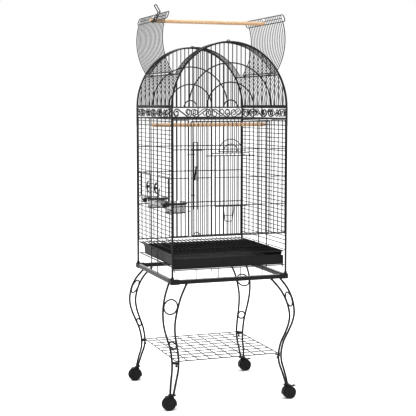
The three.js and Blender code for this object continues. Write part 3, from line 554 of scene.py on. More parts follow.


# Both coats pale what faces up. On the wirework it is faint: a dusting with a little painted highlight. On
# the stand rails' tube coat it is strong: mostly a painted highlight on the tops.
STEEL = powder_coat("powder_coat", 0.09, 0.5)
TUBE_COAT = powder_coat("tube_coat", 0.6, 0.9)
PLASTIC = moulded("moulded_plastic", 0.008, 0.016, 1900, 0.00006, 0.46)
TRAY = moulded("tray_plastic", 0.006, 0.010, 1300, 0.00009, 0.44)
TREAD = moulded("tread_rubber", 0.009, 0.018, 2600, 0.00005, 0.68)
WOOD = wood()
STAINLESS = brushed_steel()
ZINC = zinc()


def wirework(name, form, body="cage", weighted=False):
    """A piece of coated steel that stands for the node of its own name."""
    piece(name, body, form, [STEEL], [name], weighted=weighted)


# ---- Stand ----
def stand_rail(tag, along_x, sign):
    form = Form()
    half, wall, corner = TUBE / 2, 1.5, 5
    square = window(-half, half, -half, half)
    outer = rounded(square, corner, 7)
    inside = 1 - wall / half
    inner = rounded([(a * inside, b * inside) for a, b in square], corner - 1.6, 7)

    def place(a, b, h):
        across = sign * RAIL_AT + a
        return at(h, across, RAIL_Z + b) if along_x else at(across, h, RAIL_Z + b)

    form.hollow(outer, inner, -RAIL_END, RAIL_END, place)
    name = f"stand_rail_{tag}"
    piece(name, "cage", form, [TUBE_COAT], [name], weighted=True)


def connector(tag, x, y):
    """A moulded corner with plugs for the tubes, a collar for the post and two screws."""
    form = Form()
    out = FRAME_OUT + 1
    arm = RAIL_END + 0.3
    inside = RAIL_AT - TUBE / 2 - 1
    low, high = RAIL_Z - TUBE / 2 - 1, RAIL_Z + TUBE / 2 + 1
    corner = [(arm, inside), (inside, inside), (inside, arm), (out, arm), (out, out), (arm, out)]
    form.plate(rounded([(x * a, y * b) for a, b in corner], 2.4), low, high, edge=1.6)
    plug, tip, root = 6.5, arm - 14, arm + 5
    near, far, down, up = RAIL_AT - plug, RAIL_AT + plug, RAIL_Z - plug, RAIL_Z + plug
    form.block((x * tip, y * near, down), (x * root, y * far, up))
    form.block((x * near, y * tip, down), (x * far, y * root, up))
    collar = [(POST_R + 0.4, 0), (8.5, 0), (8.5, 1.6), (7.4, 2.8), (POST_R + 0.4, 2.8)]
    form.turned(collar, at(x * HALF, y * HALF, high - 0.6))
    for across in (X * x, Y * y):
        other = Y * y if across.x else X * x
        head = across * out + other * (arm + 11) + Z * RAIL_Z
        form.turned([(0, -1), (3.1, -1), (3.1, 0.1), (2.2, 0.7), (0, 0.9)], head, across, 24)
    name = f"corner_connector_{tag}"
    piece(name, "cage", form, [PLASTIC], [name], weighted=True)


def outward(x, y, offset, height):
    """A point on the leg's diagonal plane."""
    out = HALF + offset * math.sqrt(0.5)
    return at(x * out, y * out, height)


def leg(tag, x, y):
    form = Form()
    away, across = at(x, y, 0).normalized(), at(x, -y, 0).normalized()
    steps = 88
    stations = [smooth_row(LEG, i / steps) for i in range(steps + 1)]
    for side in (-1, 1):
        route = [outward(x, y, s.y, s.x) + across * (side * s.z / 2) for s in stations]
        form.tube(route, LEG_R, 14)
        weld = [(0, -5), (LEG_R, -4.6), (5, -2), (6.3, 0.6), (0, 1.8)]
        form.turned(weld, route[0], Z, 20)
    for z, radius, lean in LEG_RINGS:
        row = next(i for i, station in enumerate(LEG) if station[0] < z)
        high, low = LEG[row - 1], LEG[row]
        offset = high[1] + (high[0] - z) / (high[0] - low[0]) * (low[1] - high[1])
        form.ring(outward(x, y, offset, z), radius, away + Z * lean, 3, 40, 10)

    def slab(wide, deep, centre, low, high, corner=1.5):
        spot = outward(x, y, centre, 0)
        a, b = wide / 2, deep / 2
        outline = rounded(window(-a, a, -b, b), corner)
        form.plate(outline, low, high, lambda u, v, h: spot + across * u + away * v + Z * h)

    slab(33, 9, -23, SHELF_Z - 10, SHELF_Z)
    slab(16, 24, -31, SHELF_Z - 8, SHELF_Z - 5, 6)
    slab(30, 18, FOOT_OUT, FOOT_Z - 2.5, FOOT_Z + 2.5, 7)
    wirework(f"leg_{tag}", form, weighted=True)


def thumb_screw(tag, x, y):
    """A lobed knob on a zinc shank, under the shelf's tongue."""
    form = Form()
    spot = outward(x, y, SCREW_OUT, 0)
    top = SHELF_Z - 8.3
    lobes = []
    for i in range(72):
        a = math.radians(i * 5)
        radius = 4.3 + 0.5 * math.cos(6 * a)
        lobes.append((radius * math.cos(a), radius * math.sin(a)))
    form.plate(lobes, top - 15.6, top - 9, lambda u, v, h: spot + at(u, v, h), edge=1.2)
    form.turned([(0, top - 9.5), (4, top - 9.5), (3.4, top - 6), (0, top - 5.8)], spot, Z, 28)
    form.finish = 1
    thread = [(0, top - 7)]
    for i in range(7):
        thread += [(2.1, top - 6.6 + i * 0.95), (2.5, top - 6.15 + i * 0.95)]
    form.turned(thread + [(2.1, top), (0, top)], spot, Z, 20)
    name = f"thumb_screw_{tag}"
    piece(name, "cage", form, [PLASTIC, ZINC], [name])


def shelf():
    form = Form()
    border = [at(a, b, SHELF_Z) for a, b in window(-SHELF_HALF, SHELF_HALF, -SHELF_HALF, SHELF_HALF)]
    form.tube(bend(border, 12, 7, loop=True), 2, 12, loop=True)
    apart = 1.4  # crossed wires lie half in each other at the welds
    for i in range(1, SHELF_CELLS):
        a = -SHELF_HALF + 2 * SHELF_HALF * i / SHELF_CELLS
        form.across(-SHELF_HALF, SHELF_HALF, a, SHELF_Z + apart, 1.7)
        form.along(a, -SHELF_HALF, SHELF_HALF, SHELF_Z - apart, 1.7)
    wirework("shelf", form)


FOOT_AT = HALF + FOOT_OUT * math.sqrt(0.5)


def wheel_centre(x, y):
    return at(x * (FOOT_AT + WHEEL_TRAIL), y * FOOT_AT, WHEEL_R)


def caster(tag, x, y):
    """A twin-wheel caster: hood with neck and zinc stem, and the pair of wheels."""
    centre = wheel_centre(x, y)
    across = X * x
    form = Form()
    start, end = 62, 196  # the hood's reach about the wheel, in degrees
    shell = arc(centre, WHEEL_R + 2.6, start, end, 28, across, Z)
    form.strip(shell, 2.6, 27, Y * -x)
    web = arc(centre, WHEEL_R + 1.5, start, end, 24, across, Z) + arc(centre, 9, 250, 420, 14, across, Z)
    form.plate([(p.x, p.z) for p in web], -3.4, 3.4, lambda a, b, h: at(a, centre.y + h, b), edge=0.6)
    stem = at(x * FOOT_AT, y * FOOT_AT, 0)
    neck = [(0, 50), (8, 50), (8, 53), (7, 55.4), (7, 58.2), (6.2, 58.9), (0, 58.9)]
    form.turned(neck, stem, Z, 32)
    form.finish = 1
    form.turned([(0, 57.5), (4.2, 57.5), (4.2, 59.15), (0, 59.15)], stem, Z, 24)
    name = f"caster_hood_{tag}"
    piece(name, f"caster_{tag}", form, [PLASTIC, ZINC], [name], weighted=True)

    form = Form()
    half = [(0, 13.4), (4.6, 13.4), (5.6, 12.6), (6, 11.2), (8.2, 10.8), (17.6, 10.4), (19, 11)]
    half += [(20, 12.7), (21, 13.2), (24, 13.2), (24, 4.6), (10, 4.4), (4.2, 4.4)]
    hub = [(r, -h) for r, h in half] + half[::-1]
    form.turned(hub, Vector(), Y, 56)
    form.finish = 1
    tyre = rounded(window(23.4, WHEEL_R, 4.4, 13.5), 1.8, 4)
    for side in (-1, 1):
        form.turned(tyre, Vector(), Y * side, 64)
    form.finish = 0
    for i in range(6):
        a = math.radians(60 * i)
        spoke = at(math.cos(a), 0, math.sin(a))
        for side in (-1, 1):
            face = Y * side * 10.4
            form.rod(spoke * 8 + face, spoke * 18 + face, 1.3, 8)
    form.points = [centre + p for p in form.points]
    name = f"caster_wheel_{tag}"
    piece(name, f"wheel_{tag}", form, [PLASTIC, TREAD], [name], origin=centre)


def brake_lever(tag, x, y):
    centre = wheel_centre(x, y)
    form = Form()
    route = [centre + at(16.5, 0, 26.5), centre + at(20, 0, 27.2), centre + at(26.6, 0, 27.5)]
    form.strip(bend(route, 3), 3, 16, Y * -1, 1.2)
    for i in range(3):
        ridge = centre + at(21.2 + 2 * i, 0, 28.9)
        form.rod(ridge - Y * 6.5, ridge + Y * 6.5, 0.7, 8)
    name = f"brake_lever_{tag}"
    piece(name, f"brake_{tag}", form, [PLASTIC], [name])


# ---- Cage walls ----
def post(tag, x, y):
    form = Form()
    form.upright(x * HALF, y * HALF, POST_LOW.z, POST_HIGH.z, POST_R, 20)
    nut = [(0, 2), (5.4, 2), (6, 3.2), (6, 8.2), (5.2, 9.2), (0, 9.2)]
    form.turned(nut, at(x * HALF, y * HALF, POST_LOW.z), Z, 6)
    wirework(f"post_{tag}", form)


def scroll():
    """An S scroll about (0, 0): a slanted stem that rolls up at both ends."""
    slope, stem, roll, tight, tall = math.radians(150), 22, 14, 5, 1.25
    ahead = Vector((math.cos(slope), math.sin(slope)))
    centre = ahead * stem + Vector((-ahead.y, ahead.x)) * roll
    half = [ahead * (stem * 0.5)]
    steps = 30
    for i in range(steps + 1):
        share = i / steps
        a = slope - math.pi / 2 + math.radians(430) * share
        radius = roll + (tight - roll) * share
        half.append(centre + radius * Vector((math.cos(a), math.sin(a))))
    whole = [-p for p in half[::-1]] + half
    return [(p.x, p.y * tall) for p in whole]


def band(form, place):
    """The row of scrolls between the two rails of the band. place puts (along, height) on the wall."""
    count = 6
    cell = 2 * INNER / count
    middle = (BAND_TOP + BAND_LOW) / 2
    for i in range(count):
        centre = -INNER + cell * (i + 0.5)
        flip = 1 if i % 2 == 0 else -1
        form.tube([place(centre + flip * a, middle + b) for a, b in scroll()], 1.8, 8)


def roof_point(degrees, y, lift=0):
    a = math.radians(degrees)
    return at((HALF + lift) * math.cos(a), y, BAND_TOP + (ARCH_RISE + lift) * math.sin(a))


def roof_arc(start, end, y, steps):
    return [roof_point(start + (end - start) * i / steps, y) for i in range(steps + 1)]


def gable(form, sign):
    """The arch, its uprights, ornament arcs and scroll band, in the plane of one wall."""
    y = sign * HALF
    form.tube(roof_arc(0.85, 179.15, y, 72), ARCH_R, 14)
    for i, x in enumerate(BAR_XS):
        top = BAND_TOP + ARCH_RISE * math.sqrt(1 - (x / HALF) ** 2) - 1
        through = i in LONG_BARS
        form.upright(x, y, BAND_LOW if through else BAND_TOP, top, 1.9 if through else BAR_R)
    face = y + sign * (BAR_R + 1.5)
    for radius in ORNAMENT_RADII:
        form.tube(arc(at(0, face, BAND_TOP), radius, 0, 180, 16 + radius // 5, X, Z), 2.4)
    form.across(-INNER, INNER, y, BAND_TOP, 2.3, 12)
    form.across(-INNER, INNER, y, BAND_LOW, 3.2, 12)
    band(form, lambda a, z: at(a, y, z))
    # A small keeper at the top of the arch.
    top = BAND_TOP + ARCH_RISE + ARCH_R
    off = 9 * sign
    keeper = [at(off + a, y, top + b) for a, b in ((-7, -1.8), (-5, 3.4), (5, 3.4), (7, -1.8))]
    form.tube(bend(keeper, 2.5), 1.6, 10)


def front_gable():
    form = Form()
    gable(form, -1)
    wirework("front_gable", form)


def back_panel():
    form = Form()
    gable(form, 1)
    for x in BAR_XS:
        form.upright(x, HALF, BACK_LOW, BAND_LOW, BAR_R)
    for s in (-1, 1):
        form.upright(s * (INNER - 1), HALF + 1.5, BACK_LOW, BAND_LOW, 1.2)
    for z in BACK_RODS:
        form.across(1 - INNER, INNER - 1, HALF + BEHIND, z, ROD_R)
    form.across(-INNER, INNER, HALF, BACK_LOW, 2.5, 12)
    wirework("back_panel", form)


def front_grille(tag, side):
    """Bars beside the door, with the door's hinge eyes and the bottom rail, or with the latch's forks."""
    form = Form()
    low, high = DOOR_LOW - 1, BAND_LOW - 5.5
    edge = INNER - 1
    for x in BAR_XS:
        if x * side > JAMB_X + 5:
            form.upright(x, -HALF, low, high, BAR_R)
    corners = [at(side * a, -HALF, b) for a, b in window(JAMB_X, edge, low, high)]
    form.tube(bend(corners, 3, loop=True), 1.4, 12, loop=True)
    for z in CROSS_RODS:
        y = BEHIND - HALF
        form.across(side * (JAMB_X - 1), side * (edge + 1), y, z, 1.6)
    if side > 0:
        for z in DOOR_EYES_Z:
            form.ring(at(DOOR_AXIS_X, -HALF, z), 4.1, Z, 1.3)
            form.across(DOOR_AXIS_X + 4, JAMB_X, -HALF, z, 1.3)
        form.across(-INNER, INNER, -HALF, BOTTOM_RAIL_Z, 2.1, 14)
        for x in (JAMB_X, edge):
            form.upright(x, -HALF, BOTTOM_RAIL_Z, low, ROD_R)
    else:
        for hook in HOOKS_Z:
            z = hook - 19
            for s in (-1, 1):
                x = -JAMB_X + s * 4.4
                route = [at(-JAMB_X, -HALF, z), at(x, -HALF - 2.4, z), at(x, -HALF - 11, z)]
                form.tube(bend(route, 2), 1.25, 8)
    wirework(f"front_grille_{tag}", form)


WALL_EDGE = 243.5
SIDE_R = 1.5  # fine wires of the side walls
WALL_BAR_Y = 45
FEEDER_JAMB = 203
PERCH_Z = 1159


def side_wall(tag, side):
    """Fine horizontal wires on two uprights, with the feeder openings on the left."""
    form = Form()
    feeders = side < 0
    bars, face = side * (HALF - 1), side * (HALF + 2)
    form.along(side * HALF, -INNER, INNER, BAND_TOP, 3.9, 14)
    form.along(side * HALF, -INNER, INNER, BAND_LOW, 2.2, 12)
    band(form, lambda a, z: at(side * HALF, a, z))
    edges = window(BAND_LOW, PANEL_LOW, -WALL_EDGE, WALL_EDGE)
    form.tube(bend([at(side * (HALF + 0.2), y, z) for z, y in edges], 5), 1.4, 12)
    for s in (-1, 1):
        form.upright(bars, s * WALL_BAR_Y, RAIL_TOP + 0.3, BAND_LOW, 2, 12)
    count = int((PERCH_Z - PANEL_LOW - 8) / WIRE_PITCH)
    low, high = FEEDER_LOW - 5, FEEDER_TOP + 5
    for i in range(-1, count + 1):
        z = PERCH_Z - i * WIRE_PITCH
        if not (feeders and low < z < high):
            form.along(face, -WALL_EDGE - 1, WALL_EDGE + 1, z, SIDE_R, 8)
            continue
        form.along(bars, -WALL_BAR_Y, WALL_BAR_Y, z, SIDE_R, 8)
        for s in (-1, 1):
            form.along(bars, s * FEEDER_JAMB, s * WALL_EDGE, z, SIDE_R, 8)
    if feeders:
        for s in (-1, 1):
            for z in (low, high):
                form.along(bars, s * WALL_EDGE, s * WALL_BAR_Y, z, 1.6)
            jamb = s * FEEDER_JAMB
            form.upright(bars, jamb, low, high, 1.6)
            for z in (FEEDER_LOW + 12, FEEDER_TOP - 12):
                form.ring(at(bars, s * FEEDER_AXIS_Y, z), 3.8, Z)
                form.along(bars, s * (FEEDER_AXIS_Y + 3.8), jamb, z, 1.2)
    wirework(f"{tag}_wall", form)


# ---- Roof ----
def roof_lower(tag, side):
    form = Form()
    first = 1.4
    foot = roof_point(first, 0)
    edge = ARCH_CLEAR - 2
    form.along(side * foot.x, -ARCH_CLEAR, ARCH_CLEAR, foot.z, 2.6)
    form.along(side * HINGE_X, -ARCH_CLEAR, ARCH_CLEAR, HINGE_Z, 2.8, 12)
    for i in range(-13, 14):
        y = max(-edge, min(edge, i * ROOF_PITCH))
        route = [at(side * p.x, y, p.z) for p in roof_arc(first, HINGE_DEG, y, 12)]
        form.tube(route, EDGE_R if abs(y) == edge else FINE_R, 8)
    wirework(f"roof_lower_{tag}", form)


def roof_border(tag, sign):
    """The fixed strip behind an arch: fine wires along it, tied by short cross wires."""
    form = Form()
    start, end = HINGE_DEG + 1.5, 180 - HINGE_DEG - 1.5
    outer, inner = sign * (ARCH_CLEAR - 2), sign * (HALF - BORDER)
    strands = 5
    for i in range(strands):
        y = outer + (inner - outer) * i / (strands - 1)
        form.tube(roof_arc(start, end, y, 48), EDGE_R if i in (0, strands - 1) else FINE_R, 8)
    ties = 7
    for i in range(ties):
        p = roof_point(start + (end - start) * i / (ties - 1), 0)
        form.along(p.x, outer, inner, p.z, 1.3, 8)
    wirework(f"roof_border_{tag}", form)


def leaf_point(side, degrees, y):
    """A point of a roof leaf, turned out about its hinge to the open position."""
    p = roof_point(degrees, y, LEAF_LIFT)
    a = math.radians(LEAF_OPEN)
    dx, dz = p.x - HINGE_X, p.z - HINGE_Z
    x = HINGE_X + dx * math.cos(a) + dz * math.sin(a)
    return at(side * x, y, HINGE_Z - dx * math.sin(a) + dz * math.cos(a))


def roof_leaf(tag, side):
    form = Form()

    def strand(y, start, end, radius, steps):
        turns = [start + (end - start) * i / steps for i in range(steps + 1)]
        form.tube([leaf_point(side, a, y) for a in turns], radius, 8)

    eye_y, eye_r = 7.5 * ROOF_PITCH, 4.5
    foot = leaf_point(side, LEAF_START, 0)
    form.along(foot.x, -LEAF_HALF - 1, LEAF_HALF + 1, foot.z, 2.5)
    for i in range(-10, 11):
        strand(i * ROOF_PITCH, LEAF_START, LIP_START, FINE_R, 16)
    for s in (-1, 1):
        strand(s * LEAF_HALF, LEAF_START, LIP_START, EDGE_R, 20)
        for i in range(1, 11):
            strand(s * i * ROOF_PITCH, LIP_START, LIP_END, FINE_R, 2)
        eye = at(side * HINGE_X, s * eye_y, HINGE_Z)
        form.ring(eye, eye_r, Y, 1.3)
        near = leaf_point(side, LEAF_START, s * eye_y)
        form.rod(near, eye + (near - eye).normalized() * eye_r, 1.3)
    scale = 4.4  # millimetres of lip to a degree
    ends = window(-LIP_HALF, LIP_HALF, LIP_START, LIP_END)
    loop = bend([at(0, y, degrees * scale) for y, degrees in ends], 13, 8, loop=True)
    form.tube([leaf_point(side, p.z / scale, p.y) for p in loop], 1.8, 10, loop=True)
    middle = (LIP_START + LIP_END) / 2
    form.tube([leaf_point(side, middle, y) for y in (-LEAF_HALF, LEAF_HALF)], FINE_R, 8)
    wirework(f"roof_leaf_{tag}", form, f"leaf_{tag}")


def roof_latch():
    """A wire bail with a finger loop."""
    form = Form()
    pivot = leaf_point(-1, LIP_START, 0)
    near, far = -14.5, -46
    knee, tip = pivot + at(24, 0, 38), pivot + at(7, 0, 67)
    route = []
    for y, order in ((near, 1), (far, -1)):
        route += [pivot + at(3.6, y, 2.6), knee + Y * y, tip + Y * y][::order]
    form.tube(bend(route, 4), 1.9, 10)
    form.rod(knee + Y * (near + 1), knee + Y * (far - 1), 1.9)
    for y in (near, far):
        form.ring(pivot + Y * y, 4.3, Y)
    wirework("roof_latch", form, "latch_bail")


# ---- Perches ----
def perch(name, body, slot_x, slot_z):
    """A dowel with eased ends, each sawn with a slot that sits on a wire."""
    low, high = size_of(name)
    centre = (low + high) / 2
    end = (high.x - low.x) / 2
    profile = rounded(window(0, PERCH_R, -end, end), 1.6, 3, False)
    form = Form()
    form.turned([(0, -end), *profile[1:-1], (0, end)], centre, X, 36)
    obj = piece(name, body, form, [WOOD], [name])
    cutter = Form()
    wide, tall = 12, 1.9
    for x, outer in ((low.x, low.x - 3), (high.x, high.x + 3)):
        inner = x + slot_x * (1 if x < 0 else -1)
        corners = (inner, centre.y - wide, slot_z - tall), (outer, centre.y + wide, slot_z + tall)
        cutter.block(*corners, 0.2, 0.9)
    carve(obj, cutter)


# ---- Front door ----
FLAP_RINGS = 4.5 * BAR_PITCH
FLAP_FRAME_TOP = 1048
FLAP_FRAME_LOW = 834


def front_door():
    form = Form()
    y = -HALF
    for x in BAR_XS:
        if abs(x) > DOOR_HALF - 6 or x > DOOR_HALF - 15:
            continue
        if abs(x) > FLAP_HALF + 5:
            form.upright(x, y, DOOR_LOW, DOOR_TOP, BAR_R)
        else:
            form.upright(x, y, DOOR_LOW, FLAP_FRAME_LOW, BAR_R)
            form.upright(x, y, FLAP_FRAME_TOP, DOOR_TOP, BAR_R)
    form.upright(DOOR_AXIS_X, y, DOOR_LOW - 2, DOOR_TOP + 2, 2.2, 12)
    corners = window(DOOR_AXIS_X, -DOOR_HALF, DOOR_LOW, DOOR_TOP)
    form.tube(bend([at(x, y, z) for x, z in corners], 4), 2, 12)
    last = 8.5 * BAR_PITCH
    form.upright(last, y, DOOR_LOW, DOOR_TOP, 1.8)
    back = y + BEHIND
    low, middle, high = CROSS_RODS
    spans = [(-DOOR_HALF, last, low), (-DOOR_HALF, last, high)]
    spans += [(-DOOR_HALF, -FLAP_RINGS, middle), (FLAP_RINGS, last, middle)]
    for x0, x1, z in spans:
        form.across(x0, x1, back, z, 1.6)
    corners = window(-FLAP_RINGS, FLAP_RINGS, FLAP_FRAME_LOW, FLAP_FRAME_TOP)
    form.tube(bend([at(x, y, z) for x, z in corners], 3, loop=True), 1.7, 10, loop=True)
    for s in (-1, 1):
        form.ring(at(s * FLAP_RINGS, FLAP_Y, FLAP_AXIS_Z), 3.9, X)
    front = y - BAR_R - 1.4
    for radius, x, z in ((50, 0, ARCS_Z), (30, 0, ARCS_Z), (13, -146, DOOR_LOW)):
        form.tube(arc(at(x, front, z), radius, 0, 180, 28, X, Z), 1.6)
        if radius != 30:
            form.across(x - radius - 3, x + radius + 3, front, z, 1.5)
    form.block((-168, front - 1, high - 4), (-122, front + 2, high + 2), 0.8, 1.5)
    # Two guides that the latch slides in.
    for z in GUIDES_Z:
        route = [at(b, a, z) for a, b in window(y - 1.4, y - 12, -169, -157)]
        form.strip(bend(route, 3), 1.2, 3.2, Z, 0.4)
    wirework("front_door", form, "door")


def door_latch():
    """The lift latch: a long wire frame with a thumb tag and two hooks."""
    form = Form()
    y = -HALF - 7.5
    left, right, low, high = -163, -144, 822, 1094
    sides = window(low, high, left, right)
    form.tube(bend([at(x, y, z) for z, x in sides], 4), 1.5)
    for z in (942, 995):
        form.across(left, right, y, z, 1.5)
    tag = ((-158, 942), (-156.6, 952), (-151.6, 985), (-150, 995))
    form.strip([at(x, y - 1.2, z) for x, z in tag], 2.6, 7, X)
    for z in HOOKS_Z:
        hook = [at(right, y, z), at(-JAMB_X, y, z), at(-JAMB_X, y, z - 26)]
        form.tube(bend(hook, 4), 1.4)
    wirework("door_latch", form, "lift_latch")


def small_door():
    form = Form()
    y = FLAP_Y
    form.across(-106, 104, y, FLAP_AXIS_Z, 1.8, 12)
    sides = window(FLAP_AXIS_Z, FLAP_LOW, -FLAP_HALF, FLAP_HALF)
    form.tube(bend([at(x, y, z) for z, x in sides], 4), 1.6)
    form.across(-FLAP_HALF, FLAP_HALF, y + 0.9, 949, 1.3)
    for x in BAR_XS:
        if abs(x) < FLAP_HALF - 10:
            form.upright(x, y, FLAP_LOW, FLAP_AXIS_Z, BAR_R)
    grip_low = 769
    grip = [at(-32, y, FLAP_LOW), at(-24, y, grip_low), at(7, y, grip_low), at(15, y, FLAP_LOW)]
    form.tube(bend(grip, 5), 1.6)
    form.across(-27.2, 10.2, y, 793, 1.2)
    wirework("small_door", form, "flap")


# ---- Feeders ----
def feeder_door(tag, sign):
    form = Form()
    hinge, free = sign * FEEDER_AXIS_Y, sign * FEEDER_FREE_Y
    form.upright(FEEDER_X, hinge, FEEDER_LOW, FEEDER_TOP, 2, 12)
    corners = window(hinge, free, FEEDER_LOW, FEEDER_TOP)
    form.tube(bend([at(FEEDER_X, y, z) for y, z in corners], 4), 1.9, 12)
    rows = 5
    for i in range(1, rows):
        z = FEEDER_LOW + i * (FEEDER_TOP - FEEDER_LOW) / rows
        form.along(FEEDER_X, hinge, free, z, FINE_R, 8)
    form.finish = 1
    bow = ((2.6, -1), (4.6, 8), (5.4, 24), (4.6, 40), (2.6, 48))
    tab = [at(FEEDER_X - a, sign * FEEDER_TAB_Y, FEEDER_LOW + b) for a, b in bow]
    form.strip(bend(tab, 6), 2.6, 6.5, Y, 1.1)
    name = f"feeder_door_{tag}"
    piece(name, f"feeder_{tag}", form, [STEEL, PLASTIC], [name])


def feeder_cup(tag, sign):
    """A spun cup with a rolled rim."""
    low = CUP_RIM_Z - CUP_HEIGHT
    foot, side, wall = CUP_R - 1.5, CUP_R - 0.4, 1
    bowl = [(0, low + 1.2), (foot - 9, low + 1.2), (foot - 7, low), (foot - 4, low), (foot - 1.4, low + 1)]
    bowl += [(foot - 0.2, low + 3), (foot, low + 6), (side, CUP_RIM_Z - 5)]
    inside = [(side - wall, CUP_RIM_Z - 3), (foot - wall, low + 6), (foot - 4, low + 2.6), (0, low + 2.2)]
    rim = arc(at(CUP_R + 1.2, 0, CUP_RIM_Z - 1.7), 1.7, -110, 150, 12, X, Z)
    profile = bowl + [(p.x, p.z) for p in rim] + inside
    form = Form()
    centre = at(CUP_X, sign * CUP_Y, 0)
    form.turned(profile, centre, Z, 64)
    form.finish = 1
    ring = ((-1, 0.4), (0.5, 0.6), (0.9, 4.4), (-0.6, 5))
    form.turned([(foot + a, low + h) for a, h in ring], centre, Z, 64)
    name = f"feeder_cup_{tag}"
    piece(name, f"cup_{tag}", form, [STAINLESS, PLASTIC], [name], origin=centre + Z * low)


def cup_holder(tag, sign):
    """A black wire ring for a feeder cup, on a moulded block with a wing screw."""
    form = Form()
    ring_z = CUP_RIM_Z - 8
    form.ring(at(CUP_X, sign * CUP_Y, ring_z), CUP_R + 2.8, Z, 2.3, 64, 12)
    arm = sign * (CUP_Y + 14)
    form.finish = 1
    outer = -HALF - 3
    low, high = (outer, arm - 7, CUP_RIM_Z - 21.8), (CUP_X - CUP_R - 1, arm + 7, CUP_RIM_Z - 4)
    form.block(low, high, 1.6, 2.5)
    hub = at(outer, arm, CUP_RIM_Z - 13)
    form.turned([(0, -1), (5.4, -1), (5.4, 3), (4.2, 4.6), (0, 5)], hub, -X, 28)
    for s in (-1, 1):
        wing = [hub + at(-3, s * 2, s * 1), hub + at(-6, s * 8, s * 4), hub + at(-7, s * 13, s * 6)]
        form.strip(wing, 2.4, 6, Z, 0.9)
    name = f"cup_holder_{tag}"
    piece(name, "cage", form, [STEEL, PLASTIC], [name])


def feeder_catch(tag, sign):
    """A curved finger catch with its pivot boss."""
    form = Form()
    x, y, z = FEEDER_X - 7, sign * (FEEDER_FREE_Y + 8), 897
    route = []
    steps = 20
    for i in range(steps + 1):
        a = (i / steps - 0.5) * 2.2
        route.append(at(x - 14 * math.cos(a) + 5.5, y - sign * 3 * math.cos(a), z + 26 * math.sin(a)))
    form.strip(route, 5, 7, Y, 2)
    boss = [(0, -6), (3.6, -6), (4.5, -5), (4.5, 2), (3.4, 3.4), (0, 3.4)]
    form.turned(boss, at(x, y, z), X, 28)
    name = f"feeder_catch_{tag}"
    piece(name, f"catch_{tag}", form, [PLASTIC], [name])


# ---- Tray and grate ----
GRATE_RODS_Y = (-82, 80)
SUPPORT_Y = 243  # cross rods under the tray
RUNNERS_X = (INNER - 1.7, 241)
STUBS_X = (80, 238)
STRUTS_X = (49, 146)


def tray():
    """A deep moulded pan with round corners and a rim, and a lower plate across its front."""
    form = Form()
    x, front, back = TRAY_HIGH.x - 4, TRAY_LOW.y + 2, TRAY_HIGH.y - 3
    deep, radius, wall = TRAY_HIGH.z - PAN_LOW, 15, 3

    def level(grow, height):
        y0 = front - min(grow, 0)
        square = window(-x - grow, x + grow, y0, back + grow)
        drop = (TRAY_HIGH.z - FACE_TOP + 0.4) * max(0, height - 20) / (deep - 20)
        ring = []
        for a, b in rounded(square, radius + grow, 8):
            share = max(0, min(1, (front + radius - b) / radius))
            ring.append(at(a, b, PAN_LOW + height - drop * share))
        return ring

    outside = [(-9, 0), (-6.5, 0.4), (-4.6, 2), (-3.4, 4.8), (-0.8, 36), (-0.6, 39)]
    outside += [(2.2, 39.4), (2.9, 40.2), (3, 41.4), (2.7, 42.4), (2, 43)]
    inside = [(0.6, 43), (-0.2, 42.2), (-3.4, 9), (-5, 5.4), (-8, 3.6), (-12, 3)]
    form.skin([level(grow, h) for grow, h in outside + [(a - wall, h) for a, h in inside]])
    end, low = TRAY_HIGH.x, TRAY_LOW.z
    plate = rounded(window(-end, end, low, FACE_TOP), 5)
    form.plate(plate, TRAY_LOW.y, front + 1, lambda a, b, h: at(a, h, b), edge=1)
    form.across(3 - end, end - 3, front - 0.2, FACE_TOP - 1.6, 1.7, 14)
    piece("tray", "tray", form, [TRAY], ["tray"], weighted=True)


def grate():
    form = Form()
    low, high = size_of("grate")
    z = low.z + 2
    x, front, back = high.x - 2, low.y + 2, high.y - 2
    border = [at(a, b, z) for a, b in window(-x, x, front, back)]
    form.tube(bend(border, 8, loop=True), 2, 12, loop=True)
    for bar_x in BAR_XS:
        if abs(bar_x) < x - 3:
            route = [at(bar_x, front, z + 0.8), at(bar_x, back - 2, z + 0.8), at(bar_x, back - 1, z + 7)]
            form.tube(bend(route, 3), BAR_R, 8)
    for y in GRATE_RODS_Y:
        form.across(-x, x, y, z + 3.4, 1.7)
    wirework("grate", form, "grate")


def tray_support():
    """Runners under the pan that bend down behind its front plate to a cross rod, and the rod's struts."""
    form = Form()
    z, low = PAN_LOW - 2.3, TRAY_LOW.z - 2.1
    drop = TRAY_LOW.y + 6
    form.across(-INNER, INNER, -SUPPORT_Y, low, 1.9, 12)
    form.across(-INNER, INNER, SUPPORT_Y, z, 1.6)
    for s in (-1, 1):
        for x in RUNNERS_X:
            turns = ((INNER, z), (drop, z), (drop, low), (-SUPPORT_Y, low))
            form.tube(bend([at(s * x, a, b) for a, b in turns], 3), 1.7)
        for x in STUBS_X:
            form.upright(s * x, -SUPPORT_Y, low - 10, low, 1.5)
        for x in STRUTS_X:
            form.upright(s * x, -SUPPORT_Y, RAIL_TOP + 0.3, low, 1.4)
    wirework("tray_support", form)


# ---- Making it all ----
def build():
    for tag, y in ENDS.items():
        stand_rail(tag, True, y)
        roof_border(tag, y)
        feeder_door(tag, y)
        cup_holder(tag, y)
        feeder_cup(tag, y)
        feeder_catch(tag, y)
    for tag, x in SIDES.items():
        stand_rail(tag, False, x)
        front_grille(tag, x)
        side_wall(tag, x)
        roof_lower(tag, x)
        roof_leaf(tag, x)
    for tag, (x, y) in CORNERS.items():
        connector(tag, x, y)
        leg(tag, x, y)
        thumb_screw(tag, x, y)
        caster(tag, x, y)
        post(tag, x, y)
        if x > 0:
            brake_lever(tag, x, y)
    shelf()
    front_gable()
    back_panel()
    roof_latch()
    perch("top_perch", "perch", 10, leaf_point(1, LIP_START, 0).z)
    perch("inner_perch", "cage", 22, PERCH_Z)
    front_door()
    door_latch()
    small_door()
    tray()
    grate()
    tray_support()


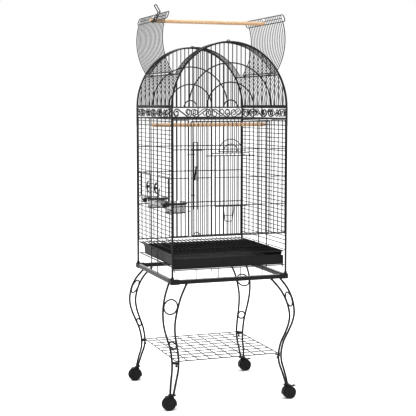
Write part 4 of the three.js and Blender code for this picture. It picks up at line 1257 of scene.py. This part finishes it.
# ---- Studio ----
def floor():
    form = Form()
    reach, thick = 60000, 40
    form.turned([(0, -thick), (reach, -thick), (reach, 0), (0, 0)], Vector(), Z, 96)
    mesh = bpy.data.meshes.new("floor")
    mesh.from_pydata([p * MM for p in form.points], [], form.faces)
    obj = add_object("floor", mesh)
    r = Recipe("floor_paper", Specular_IOR_Level=0.1)
    r.set("Base Color", r.ramp(r.noise(3, 3), (0.3, (0.90, 0.90, 0.90)), (0.7, (0.93, 0.93, 0.93))))
    r.set("Roughness", r.spread(r.noise(8, 2), 0.85, 0.95))
    mesh.materials.append(r.material)


def aimed(name, data, place, ahead):
    """Adds an object that looks along a direction."""
    obj = add_object(name, data)
    obj.location = place
    obj.rotation_mode = "QUATERNION"
    obj.rotation_quaternion = ahead.to_track_quat("-Z", "Y")
    return obj


def softbox(name, place, aim, size, power):
    data = bpy.data.lights.new(name, "AREA")
    data.shape, data.size, data.size_y, data.energy = "RECTANGLE", size, size, power
    aimed(name, data, place, Vector(aim) - Vector(place))


def studio():
    world = bpy.data.worlds.new("studio")
    world.use_nodes = True
    sky = world.node_tree.nodes["Background"].inputs
    sky["Color"].default_value = (1, 1, 1, 1)
    sky["Strength"].default_value = 1.0
    sun = bpy.data.lights.new("sun", "SUN")
    sun.energy, sun.angle = 1.3, math.radians(70)
    add_object("sun", sun).rotation_euler = (math.radians(12), math.radians(-14), 0)
    bpy.context.scene.world = world
    softbox("key", (-2.6, -2.4, 2.9), (0, 0, 0.9), 1.6, 60)
    softbox("fill", (2.8, -2.0, 2.0), (0, 0, 0.8), 1.8, 25)
    softbox("top", (0.3, 0.6, 3.4), (0, 0, 0.8), 2.2, 45)
    view = bpy.context.scene.view_settings
    view.view_transform, view.gamma = "Standard", 0.75


def camera():
    """A long lens a little to the left of the door, level with the band."""
    data = bpy.data.cameras.new("camera")
    data.lens, data.sensor_width, data.clip_end = 91.73, 36, 200
    yaw, pitch = math.radians(19.782), math.radians(5.53)
    ahead = at(math.sin(yaw) * math.cos(pitch), math.cos(yaw) * math.cos(pitch), -math.sin(pitch))
    bpy.context.scene.camera = aimed("camera", data, (-1.5526, -4.2976, 1.242), ahead)


camera()
studio()
floor()
build()
